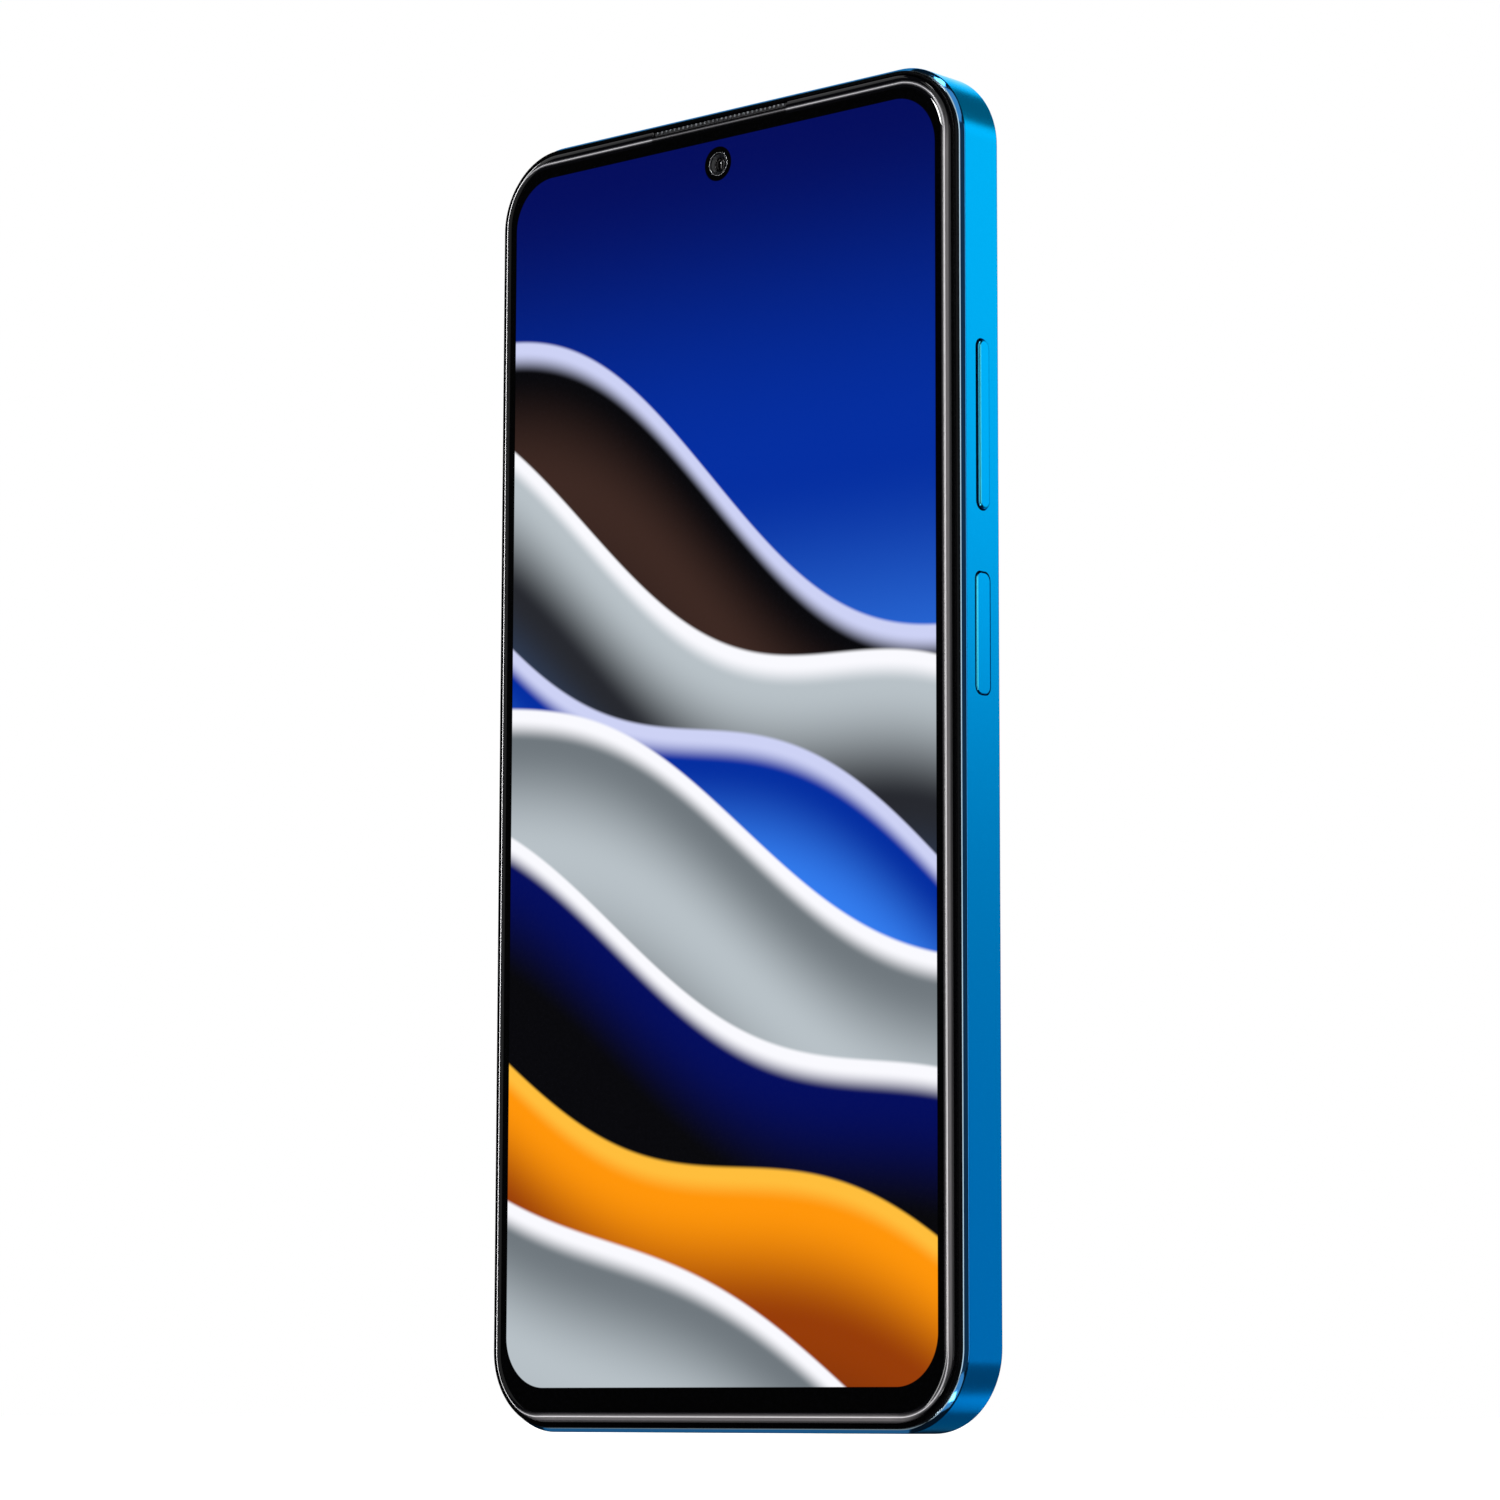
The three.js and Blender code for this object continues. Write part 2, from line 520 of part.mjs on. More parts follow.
function mainBoard() {
  const shape = polygon([
    [-34.8, 111], [33.2, 111], [33.2, 129.4], [8.6, 129.4], [8.6, 160.6], [3.6, 160.6], [3.6, 153.2],
    [-20, 153.2], [-20, 160.6], [-23, 160.6], [-23, 148], [-34.8, 148],
  ]);
  const board = prism(shape, 'y', BOARD_FRONT, BOARD_BACK);
  return piece('main_board', cut(board, bossClearance(UPPER_SCREWS, BOARD_FRONT, BOARD_BACK)), circuitBoard);
}

function shield(name, x0, x1, z0, z1, height) {
  const shape = roundedRect(x1 - x0, z1 - z0, 0.8, (x0 + x1) / 2, (z0 + z1) / 2);
  return piece(name, prism(shape, 'y', BOARD_BACK + GAP, BOARD_BACK + GAP + height, SMALL_ARC), steel);
}

function heatSpreader() {
  const sheet = prism(roundedRect(38, 34, 2, -13, 130.5), 'y', BAY_FRONT, BOARD_FRONT - GAP, SMALL_ARC);
  return piece('heat_spreader', cut(sheet, bossClearance(UPPER_SCREWS, BAY_FRONT, BOARD_FRONT)), copper);
}

function subBoard() {
  const inner = USB.depth + 1.2;
  const shape = polygon([
    [-34.4, 12], [-31.4, 4.6], [-27, 2.4], [-5.4, 2.4], [-5.4, inner], [5.4, inner], [5.4, 2.4],
    [9.2, 2.4], [9.2, 25], [-12, 25], [-12, 34.6], [-34.4, 34.6],
  ]);
  const board = prism(shape, 'y', BOARD_FRONT, BOARD_BACK);
  return piece('sub_board', cut(board, bossClearance(LOWER_SCREWS, BOARD_FRONT, BOARD_BACK)), circuitBoard);
}

function usbPort() {
  const bottom = 0.35;
  const outer = roundedRect(USB.width, USB.height, USB.height, 0, SIDE_CENTRE);
  const inner = roundedRect(USB.width - 2 * USB.wall, USB.height - 2 * USB.wall, USB.height, 0, SIDE_CENTRE);
  const shell = prism(outer, 'z', bottom, bottom + USB.depth);
  const mouth = prism(inner, 'z', bottom - PAST, bottom + USB.depth - 0.5);
  return piece('usb_port_shell', cut(shell, [mouth]), steel);
}

function usbTongue() {
  const top = 0.35 + USB.depth - 0.5 - GAP;
  const blade = block(-3.35, 3.35, SIDE_CENTRE - 0.35, SIDE_CENTRE + 0.35, 1.5, top);
  const root = block(-3.7, 3.7, SIDE_CENTRE - 0.9, SIDE_CENTRE + 0.9, top - 1.6, top);
  return piece('usb_port_tongue', blade.add(root), blackPlastic);
}

function microphone(name, x, z) {
  const top = z > HEIGHT / 2 ? HEIGHT - WALL - 0.2 : WALL + 2.7;
  const box = block(x - 1.4, x + 1.4, BOARD_BACK + GAP, BOARD_BACK + 1.1, top - 2.4, top);
  return piece(name, box, steel);
}

// ---- Battery and flexes -----------------------------------------------------------------

function battery() {
  const { left, right, bottom, top, front, back } = BATTERY;
  const section = roundedRect(right - left, back - front, 1.4, (left + right) / 2, (front + back) / 2);
  return piece('battery', prism(section, 'z', bottom, top), cellWrap);
}

function batteryFlex() {
  const path = [[1.2, BATTERY.top + GAP], [1.2, 110.2], [-0.3, 111.8], [-0.3, 116]];
  return piece('battery_flex', ribbon(path, 0.2, -20, -12), flexAmber);
}

// Runs over the back of the battery from one board to the other.
function boardLinkFlex() {
  const over = BATTERY.back + 0.12;
  const path = [
    [-0.3, 28], [-0.3, 34], [over, 35.4], [over, 109.6], [-0.3, 111.4], [-0.3, 117],
  ];
  return piece('board_link_flex', ribbon(path, 0.14, -30, -21), flexAmber);
}

// Leaves the bottom of the display and comes through the midplate to the lower board.
function displayFlex() {
  const path = [
    [PANEL_BACK + 0.13, 34.2], [PANEL_BACK + 0.13, 29.4], [-1.2, 28], [-0.3, 26.2],
  ];
  return piece('display_flex', ribbon(path, 0.14, 10, 20), flexAmber);
}

function coaxCable() {
  const points = [[-33.6, 26], [-34.4, 40], [-34.4, 104], [-33.6, 116]];
  const path = new THREE.CatmullRomCurve3(points.map(([x, z]) => new THREE.Vector3(x, 0.4, z)));
  const section = new THREE.Shape().absarc(0, 0, 0.4, 0, 2 * Math.PI);
  const tube = new THREE.ExtrudeGeometry(section, { steps: 16, curveSegments: 4, extrudePath: path });
  return piece('coax_cable', solid(tube), blackPlastic);
}

// ---- Sound, vibration, infrared ---------------------------------------------------------

function loudspeaker() {
  const box = prism(outline(WALL + 0.25), 'y', BAY_FRONT, 2.95);
  const space = block(10.4, WIDTH, BAY_FRONT - PAST, BACK, 2.4, 24.8);
  return piece('loudspeaker', box.intersect(space), blackPlastic);
}

function loudspeakerMesh() {
  const length = SPEAKER.holes * SPEAKER.pitch;
  const shape = roundedRect(length, 1.8, 0.9, SPEAKER.x, SIDE_CENTRE);
  return piece('loudspeaker_mesh', prism(shape, 'z', WALL + GAP, WALL + 0.2, SMALL_ARC), steel);
}

function vibrationMotorCase() {
  const { radius, wall, height } = MOTOR;
  const profile = [
    [0, 0], [radius, 0], [radius, height], [1.2, height], [1.2, height - wall],
    [radius - wall, height - wall], [radius - wall, wall], [0, wall],
  ];
  const shell = new THREE.LatheGeometry(profile.map(([r, y]) => new THREE.Vector2(r, y)), 24);
  return piece('vibration_motor_case', solid(shell), steel, [MOTOR.x, BAY_FRONT, MOTOR.z]);
}

function vibrationMotorMass() {
  const { radius, wall, height } = MOTOR;
  const clear = 0.35;
  const disc = bar('y', [0, 0], radius - wall - clear, wall + clear, height - wall - clear, 24);
  return piece('vibration_motor_mass', disc, darkAlloy, [MOTOR.x, BAY_FRONT, MOTOR.z]);
}

function audioJack() {
  const top = HEIGHT - 0.2;
  const base = HEIGHT - JACK.length;
  const body = block(-2.9, 2.9, BAY_FRONT, JACK.y + JACK.radius, base, HEIGHT - WALL - 0.3);
  const nose = bar('z', [0, JACK.y], JACK.radius, HEIGHT - WALL - PAST, top, 16);
  const bore = bar('z', [0, JACK.y], JACK.bore, base + 1, HEIGHT + PAST, 16);
  return piece('audio_jack', cut(body.add(nose), [bore]), blackPlastic, [JACK.x, 0, 0]);
}

function irEmitter() {
  const top = HEIGHT - WALL - 0.2;
  const body = block(-1.5, 1.5, BOARD_BACK + GAP, SIDE_CENTRE + 1.4, top - 2.4, top);
  const dome = bar('z', [0, SIDE_CENTRE], 1.15, top - 0.1, HEIGHT - 0.15, 14);
  return piece('ir_emitter', body.add(dome), lensBlack, [IR_X, 0, 0]);
}

// ---- Brackets and screws ----------------------------------------------------------------

function screwSeats(screws, { front, back }) {
  return screws.flatMap(([x, z]) => [
    bar('y', [x, z], SCREW.shank + 0.15, front - PAST, back + PAST, 12),
    bar('y', [x, z], SCREW.head + 0.15, back - SCREW.headHeight, back + PAST, 14),
  ]);
}

function upperBracket() {
  const shape = polygon([
    [-33.4, 118.4], [7, 118.4], [7, 112.4], [33, 112.4], [33, 129.2], [8.4, 129.2], [8.4, 151],
    [-22.4, 151], [-22.4, 147.4], [-33.4, 147.4],
  ]);
  const plate = prism(shape, 'y', UPPER_BRACKET.front, UPPER_BRACKET.back);
  return piece('upper_bracket', cut(plate, screwSeats(UPPER_SCREWS, UPPER_BRACKET)), greyPlastic);
}

function lowerBracket() {
  const shape = polygon([[-34.2, 12.4], [-31.2, 5], [-27, 2.6], [9.4, 2.6], [9.4, 25], [-34.2, 25]]);
  const plate = prism(shape, 'y', LOWER_BRACKET.front, LOWER_BRACKET.back);
  return piece('lower_bracket', cut(plate, screwSeats(LOWER_SCREWS, LOWER_BRACKET)), greyPlastic);
}

function screw(name, [x, z], { front, back }) {
  const head = bar('y', [0, 0], SCREW.head, back - SCREW.headHeight + GAP, back + GAP, 14);
  const shank = bar('y', [0, 0], SCREW.shank, front - SCREW.bite, back - SCREW.headHeight + 0.1, 10);
  return piece(name, head.add(shank), steel, [x, 0, z]);
}

// ---- Assembly -----------------------------------------------------------------------------

const group = new THREE.Group();

const shells = new THREE.Group();
shells.add(sideFrame(), frontBezel(), coverGlass(), displayPanel(), midplate(), rearCover(), coverAdhesive());

const cameras = new THREE.Group();
cameras.add(
  cameraIsland(),
  lensWindow('main_camera_window', MAIN_CAMERA),
  lensWindow('wide_camera_window', WIDE_CAMERA),
  lensWindow('macro_camera_window', MACRO_CAMERA),
  flashLens(), flashLed(), mainCameraHousing(), mainCameraLens(),
  fixedCamera('wide_camera', WIDE_CAMERA),
  fixedCamera('macro_camera', MACRO_CAMERA),
  frontCamera(),
);

const keys = new THREE.Group();
keys.add(
  sideKey('volume_rocker', VOLUME, 0.3, [-DOME_OFFSET, DOME_OFFSET]),
  sideKey('power_key', POWER, 0.05, [0]),
  sideKeyFlex(),
);

const cardTray = new THREE.Group();
cardTray.add(simTray(), simTraySeal(), simReader(), ejectRod(), ejectLever());

const electronics = new THREE.Group();
electronics.add(
  mainBoard(), heatSpreader(), subBoard(),
  shield('processor_shield', 9, 28.6, 112.6, 128.4, 1.6),
  shield('radio_shield', -4, 6.4, 122.2, 150.4, 1.5),
  shield('power_shield', -33.4, -23.2, 136.6, 147.2, 1.5),
  usbPort(), usbTongue(),
  microphone('main_microphone', MAIN_MIC_X, 0),
  microphone('top_microphone', TOP_MIC_X, HEIGHT),
  battery(), batteryFlex(), boardLinkFlex(), displayFlex(), coaxCable(),
);

const sound = new THREE.Group();
sound.add(
  earpieceSpeaker(), earpieceMesh(), loudspeaker(), loudspeakerMesh(),
  vibrationMotorCase(), vibrationMotorMass(), audioJack(), irEmitter(),
);

const fixings = new THREE.Group();
fixings.add(upperBracket(), lowerBracket());
UPPER_SCREWS.forEach((place, i) => fixings.add(screw(`upper_screw_${i + 1}`, place, UPPER_BRACKET)));
LOWER_SCREWS.forEach((place, i) => fixings.add(screw(`lower_screw_${i + 1}`, place, LOWER_BRACKET)));

group.add(shells, cameras, keys, cardTray, electronics, sound, fixings);

export default group;
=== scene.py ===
"""A smartphone that stands on its bottom edge: detailed pieces, finishes, light and camera.

Sizes in this file are millimetres unless a name says otherwise, and MM turns them into metres.
X is right (the keys), -Y is the screen side, +Y the back and +Z the top.
"""

import json
import math

import bmesh
import bpy
from mathutils import Euler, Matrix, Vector

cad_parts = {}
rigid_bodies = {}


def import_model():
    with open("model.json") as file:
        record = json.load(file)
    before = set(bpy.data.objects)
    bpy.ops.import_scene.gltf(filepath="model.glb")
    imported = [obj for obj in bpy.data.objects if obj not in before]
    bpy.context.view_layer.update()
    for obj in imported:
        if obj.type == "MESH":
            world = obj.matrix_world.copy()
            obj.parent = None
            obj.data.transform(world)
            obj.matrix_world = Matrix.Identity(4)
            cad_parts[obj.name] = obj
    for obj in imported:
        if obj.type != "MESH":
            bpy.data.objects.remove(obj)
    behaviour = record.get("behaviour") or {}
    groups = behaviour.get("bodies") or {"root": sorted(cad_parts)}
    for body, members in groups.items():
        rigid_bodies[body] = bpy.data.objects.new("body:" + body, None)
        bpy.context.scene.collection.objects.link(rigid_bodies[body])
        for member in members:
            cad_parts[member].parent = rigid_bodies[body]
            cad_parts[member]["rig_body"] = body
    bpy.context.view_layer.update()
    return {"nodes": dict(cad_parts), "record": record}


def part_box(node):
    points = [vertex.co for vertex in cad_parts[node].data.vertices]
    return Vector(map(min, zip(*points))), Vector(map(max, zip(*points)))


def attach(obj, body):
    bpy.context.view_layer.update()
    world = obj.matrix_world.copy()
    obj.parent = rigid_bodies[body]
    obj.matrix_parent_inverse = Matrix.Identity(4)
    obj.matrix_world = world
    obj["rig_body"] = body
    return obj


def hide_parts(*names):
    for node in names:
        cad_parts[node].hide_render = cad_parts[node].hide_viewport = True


MM = 0.001

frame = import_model()


# ---- Places, read from the frame -----------------------------------------------------


def span(node):
    """A CAD node's lowest and highest corners, in millimetres."""
    low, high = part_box(node)
    return low / MM, high / MM


def middle(node):
    low, high = span(node)
    return (low + high) / 2


FRAME_LOW, FRAME_HIGH = span("side_frame")
GLASS_LOW, GLASS_HIGH = span("cover_glass")
BEZEL_LOW, BEZEL_HIGH = span("front_bezel")
COVER_LOW, COVER_HIGH = span("rear_cover")
ISLAND_LOW, ISLAND_HIGH = span("camera_island")

HALF_WIDTH = FRAME_HIGH.x
HEIGHT = FRAME_HIGH.z
FRONT = GLASS_LOW.y
FRAME_FRONT = FRAME_LOW.y
BACK = FRAME_HIGH.y
CORNER_RADIUS = 10
WALL = 1.9
REAR_LIP = 1.0
LEDGE = span("rear_cover_adhesive")[0].y - 0.05
CHAMFER = (0.53, 0.52)  # across the front, along the side
BAND_CENTRE = (FRAME_FRONT + CHAMFER[1] + BACK) / 2

LIT_HALF_WIDTH = 34.75
LIT_LOW, LIT_HIGH = 5.45, 159.95
LIT_RADIUS = 6.3
CAMERA_BORDER = 2.2
VOLUME_SIZE = (2.0, 20.6)
POWER_SIZE = (2.6, 14.6)

ROUND = 12  # sides of a quarter circle on small pieces
OUTLINE = 24  # and on the phone's own corners


# ---- Shapes ----------------------------------------------------------------------------


class Face:
    """A flat place to build on: its centre, the two directions across it, and the way out of it."""

    def __init__(self, centre, across, along):
        self.centre = Vector(centre)
        self.across = Vector(across)
        self.along = Vector(along)
        self.out = self.across.cross(self.along)

    def point(self, a, b, height):
        return (self.centre + a * self.across + b * self.along + height * self.out) * MM


X, Y, Z = Vector((1, 0, 0)), Vector((0, 1, 0)), Vector((0, 0, 1))
SCREEN_SIDE = Face((0, 0, HEIGHT / 2), X, Z)  # heights from it run towards -Y


def screen_face(x, z, y=0.0):
    return Face((x, y, z), X, Z)


def back_face(x, z, y=0.0):
    return Face((x, y, z), -X, Z)


def key_side(y, z):
    return Face((HALF_WIDTH, y, z), Y, Z)


def tray_side(y, z):
    return Face((-HALF_WIDTH, y, z), -Y, Z)


def bottom_face(x, y):
    return Face((x, y, 0), -X, Y)


def top_face(x, y):
    return Face((x, y, HEIGHT), X, Y)


def rounded_rectangle(width, height, radius, steps):
    """Anticlockwise points of a rounded rectangle about (0, 0)."""
    radius = max(min(radius, width / 2 - 0.005, height / 2 - 0.005), 0.005)
    points = []
    for quarter, (side, end) in enumerate([(1, -1), (1, 1), (-1, 1), (-1, -1)]):
        for i in range(steps + 1):
            angle = math.radians(90 * (quarter - 1 + i / steps))
            a = side * (width / 2 - radius) + radius * math.cos(angle)
            b = end * (height / 2 - radius) + radius * math.sin(angle)
            points.append((a, b))
    return points


def soften(profile, reach, steps=4, closed=False):
    """A profile whose inner corners are rounded, each over a reach to either side of it."""
    last = len(profile) - 1
    out = []
    for i, (a, b) in enumerate(profile):
        if not closed and i in (0, last):
            out.append((a, b))
            continue
        here = Vector((a, b))
        before = Vector(profile[i - 1]) - here
        after = Vector(profile[(i + 1) % len(profile)]) - here
        start = here + before.normalized() * min(reach, before.length / 2.2)
        end = here + after.normalized() * min(reach, after.length / 2.2)
        for k in range(steps + 1):
            f = k / steps
            point = (1 - f) ** 2 * start + 2 * f * (1 - f) * here + f * f * end
            out.append((point.x, point.y))
    return out


def mesh_piece(name, verts, faces, sharp_degrees=35):
    mesh = bpy.data.meshes.new(name)
    mesh.from_pydata([tuple(v) for v in verts], [], faces)
    piece = bpy.data.objects.new(name, mesh)
    bpy.context.scene.collection.objects.link(piece)
    tidy(piece, sharp_degrees)
    return piece


def tidy(piece, sharp_degrees=35):
    """Faces outwards and smooth, apart from edges sharper than the angle."""
    work = bmesh.new()
    work.from_mesh(piece.data)
    bmesh.ops.remove_doubles(work, verts=work.verts, dist=1e-8)
    bmesh.ops.recalc_face_normals(work, faces=work.faces)
    work.to_mesh(piece.data)
    work.free()
    piece.data.polygons.foreach_set("use_smooth", [True] * len(piece.data.polygons))
    piece.data.set_sharp_from_angle(angle=math.radians(sharp_degrees))
    if not any(m.type == "WEIGHTED_NORMAL" for m in piece.modifiers):
        even = piece.modifiers.new("Even shading", "WEIGHTED_NORMAL")
        even.keep_sharp = True
        even.weight = 80


def loft(name, face, width, height, radius, profile, steps=ROUND, closed=False, sharp_degrees=35):
    """A solid with a rounded-rectangle outline. Each (inset, height) of the profile is one ring of it.

    A closed profile makes a hollow ring. It runs up the outside and down the inside."""
    verts, faces = [], []
    for inset, level in profile:
        ring = rounded_rectangle(width - 2 * inset, height - 2 * inset, radius - inset, steps)
        verts += [face.point(a, b, level) for a, b in ring]
    count = 4 * (steps + 1)
    rings = len(profile)
    for ring in range(rings if closed else rings - 1):
        low, high = ring * count, (ring + 1) % rings * count
        for i in range(count):
            j = (i + 1) % count
            faces.append((low + i, low + j, high + j, high + i))
    if not closed:
        faces.append(tuple(reversed(range(count))))
        faces.append(tuple(range((rings - 1) * count, rings * count)))
    return mesh_piece(name, verts, faces, sharp_degrees)


def phone_loft(name, profile, closed=False, sharp_degrees=35):
    """A solid that follows the phone's outline. The profile is (inset, Y level)."""
    heights = [(inset, -y) for inset, y in profile]
    size = (2 * HALF_WIDTH, HEIGHT, CORNER_RADIUS)
    return loft(name, SCREEN_SIDE, *size, heights, OUTLINE, closed, sharp_degrees)


def turned(name, face, profile, steps=ROUND, closed=False, sharp_degrees=35):
    """A turned solid about a face's way out. The profile is (radius, height)."""
    widest = max(radius for radius, _ in profile)
    insets = [(widest - radius, level) for radius, level in profile]
    return loft(name, face, 2 * widest, 2 * widest, widest, insets, steps, closed, sharp_degrees)


def join(name, pieces):
    """One piece from several meshes."""
    work = bmesh.new()
    for piece in pieces:
        work.from_mesh(piece.data)
        bpy.data.objects.remove(piece)
    mesh = bpy.data.meshes.new(name)
    work.to_mesh(mesh)
    work.free()
    piece = bpy.data.objects.new(name, mesh)
    bpy.context.scene.collection.objects.link(piece)
    tidy(piece)
    return piece


def cut(piece, tools, sharp_degrees=35):
    """Cuts the tools out of a piece and drops them."""
    for tool in tools:
        step = piece.modifiers.new("Cut", "BOOLEAN")
        step.operation = "DIFFERENCE"
        step.solver = "EXACT"
        step.object = tool
    shading = [m for m in piece.modifiers if m.type == "WEIGHTED_NORMAL"]
    for modifier in shading:
        piece.modifiers.remove(modifier)
    bpy.context.view_layer.update()
    graph = bpy.context.evaluated_depsgraph_get()
    mesh = bpy.data.meshes.new_from_object(piece.evaluated_get(graph))
    piece.modifiers.clear()
    piece.data = mesh
    for tool in tools:
        bpy.data.objects.remove(tool)
    tidy(piece, sharp_degrees)
    return piece


def opening(face, width, height, radius, depth, chamfer, steps=ROUND):
    """A cutting tool for a hole whose mouth is chamfered."""
    profile = [(0, -depth), (0, -chamfer), (-chamfer, 0), (-chamfer, 1)]
    return loft("tool", face, width, height, radius, profile, steps)


def round_opening(face, radius, depth, chamfer, steps=ROUND):
    return opening(face, 2 * radius, 2 * radius, radius, depth, chamfer, steps)


# ---- Finishes ----------------------------------------------------------------------------


def srgb(red, green, blue):
    """A screen colour, 0 to 255, as the linear colour that a shader takes."""
    parts = [c / 255 for c in (red, green, blue)]
    linear = [c / 12.92 if c <= 0.04045 else ((c + 0.055) / 1.055) ** 2.4 for c in parts]
    return (*linear, 1.0)


def feed(tree, slot, value):
    """Links a field or a colour to a node's input, or sets it to a plain value."""
    if isinstance(value, Field):
        tree.links.new(value.socket, slot)
    else:
        slot.default_value = value


class Field:
    """A value that nodes work out at each point of a surface."""

    def __init__(self, tree, socket):
        self.tree = tree
        self.socket = socket

    def _math(self, operation, *others):
        node = self.tree.nodes.new("ShaderNodeMath")
        node.operation = operation
        for slot, value in zip(node.inputs, (self, *others)):
            feed(self.tree, slot, value)
        return Field(self.tree, node.outputs[0])

    def __add__(self, other):
        return self._math("ADD", other)

    def __sub__(self, other):
        return self._math("SUBTRACT", other)

    def __mul__(self, other):
        return self._math("MULTIPLY", other)

    def __truediv__(self, other):
        return self._math("DIVIDE", other)

    def least(self, other):
        return self._math("MINIMUM", other)

    def most(self, other):
        return self._math("MAXIMUM", other)

    def size(self):
        return self._math("ABSOLUTE")

    def square(self):
        return self._math("POWER", 2.0)

    def root(self):
        return self._math("SQRT")

    def sine(self):
        return self._math("SINE")

    def between(self, low, high, start=0.0, end=1.0):
        """Runs smoothly from start to end as the value goes from low to high."""
        node = self.tree.nodes.new("ShaderNodeMapRange")
        node.interpolation_type = "SMOOTHSTEP"
        for slot, value in zip(node.inputs, (self, low, high, start, end)):
            feed(self.tree, slot, value)
        return Field(self.tree, node.outputs["Result"])

    def ramp(self, stops):
        """A colour that eases through (value, colour) stops."""
        node = self.tree.nodes.new("ShaderNodeValToRGB")
        node.color_ramp.interpolation = "EASE"
        elements = node.color_ramp.elements
        elements[0].position, elements[0].color = stops[0]
        elements[1].position, elements[1].color = stops[-1]
        for position, color in stops[1:-1]:
            elements.new(position).color = color
        feed(self.tree, node.inputs["Fac"], self)
        return Field(self.tree, node.outputs["Color"])


def over(under, top, mask):
    """The top colour laid over another where the mask is 1."""
    tree = mask.tree
    node = tree.nodes.new("ShaderNodeMix")
    node.data_type = "RGBA"
    feed(tree, node.inputs[0], mask)
    feed(tree, node.inputs[6], under)
    feed(tree, node.inputs[7], top)
    return Field(tree, node.outputs[2])


class Finish:
    """A material with one Principled shader. Constants go on its own sockets."""

    def __init__(self, name, **constants):
        self.material = bpy.data.materials.new(name)
        self.material.use_nodes = True
        self.tree = self.material.node_tree
        self.shader = self.tree.nodes["Principled BSDF"]
        for key, value in constants.items():
            self.shader.inputs[key.replace("_", " ")].default_value = value

    def place(self):
        """The point on the piece, in millimetres, as three fields and as one vector field."""
        coordinates = self.tree.nodes.new("ShaderNodeTexCoord")
        scale = self.tree.nodes.new("ShaderNodeVectorMath")
        scale.operation = "SCALE"
        scale.inputs["Scale"].default_value = 1 / MM
        self.tree.links.new(coordinates.outputs["Object"], scale.inputs[0])
        split = self.tree.nodes.new("ShaderNodeSeparateXYZ")
        self.tree.links.new(scale.outputs[0], split.inputs[0])
        return [Field(self.tree, s) for s in split.outputs], Field(self.tree, scale.outputs[0])

    def stretched(self, vector, factors):
        """A vector field whose three parts are scaled, for grain that runs one way."""
        node = self.tree.nodes.new("ShaderNodeVectorMath")
        node.operation = "MULTIPLY"
        feed(self.tree, node.inputs[0], vector)
        node.inputs[1].default_value = factors
        return Field(self.tree, node.outputs[0])

    def noise(self, vector, per_mm, detail=3.0):
        node = self.tree.nodes.new("ShaderNodeTexNoise")
        node.inputs["Scale"].default_value = per_mm
        node.inputs["Detail"].default_value = detail
        feed(self.tree, node.inputs["Vector"], vector)
        return Field(self.tree, node.outputs["Fac"])

    def flakes(self, vector, per_mm):
        """A random value for each small cell of the surface."""
        node = self.tree.nodes.new("ShaderNodeTexVoronoi")
        node.inputs["Scale"].default_value = per_mm
        feed(self.tree, node.inputs["Vector"], vector)
        split = self.tree.nodes.new("ShaderNodeSeparateXYZ")
        self.tree.links.new(node.outputs["Color"], split.inputs[0])
        return Field(self.tree, split.outputs[0])

    def set(self, socket, value):
        feed(self.tree, self.shader.inputs[socket], value)

    def bump(self, height, depth, strength=1.0):
        """Raises the surface by the field, up to a depth in millimetres."""
        node = self.tree.nodes.new("ShaderNodeBump")
        node.inputs["Strength"].default_value = strength
        node.inputs["Distance"].default_value = depth * MM
        feed(self.tree, node.inputs["Height"], height)
        self.tree.links.new(node.outputs["Normal"], self.shader.inputs["Normal"])


def metallic_blue(name, deep, bright, roughness):
    """Satin blue metal, darker towards the bottom partly as painted shade: fine flake, a chamfer of lower
    roughness and a painted highlight, a pale line, along the front edge.
    """
    finish = Finish(name, Metallic=1.0, Specular_Tint=(0.3, 0.75, 1.0, 1.0))
    (_, y, z), point = finish.place()
    # darker towards the bottom: the blue's own tone deepens, and part of that fall is painted shade that
    # adds to the lamps' gradient
    tone = (z / HEIGHT).ramp([(0.0, deep), (1.0, bright)])
    flake = finish.flakes(point, 14.0)
    tone = over(tone, srgb(60, 190, 255), flake.between(0.86, 1.0, 0.0, 0.1))
    chamfer = y.between(FRAME_FRONT + CHAMFER[1] + 0.06, FRAME_FRONT + CHAMFER[1] - 0.06)
    tone = over(tone, srgb(72, 165, 245), chamfer)
    # painted highlight: a pale line along the front edge of the chamfer, in place of a reflected bright line
    painted_frame_edge = y.between(FRAME_FRONT + 0.11, FRAME_FRONT + 0.07)
    finish.set("Base Color", over(tone, srgb(205, 236, 255), painted_frame_edge))
    grain = finish.noise(point, 6.0).between(0.2, 0.8, roughness - 0.02, roughness + 0.02)
    finish.set("Roughness", grain * chamfer.between(0.0, 1.0, 1.0, 0.4))
    return finish.material


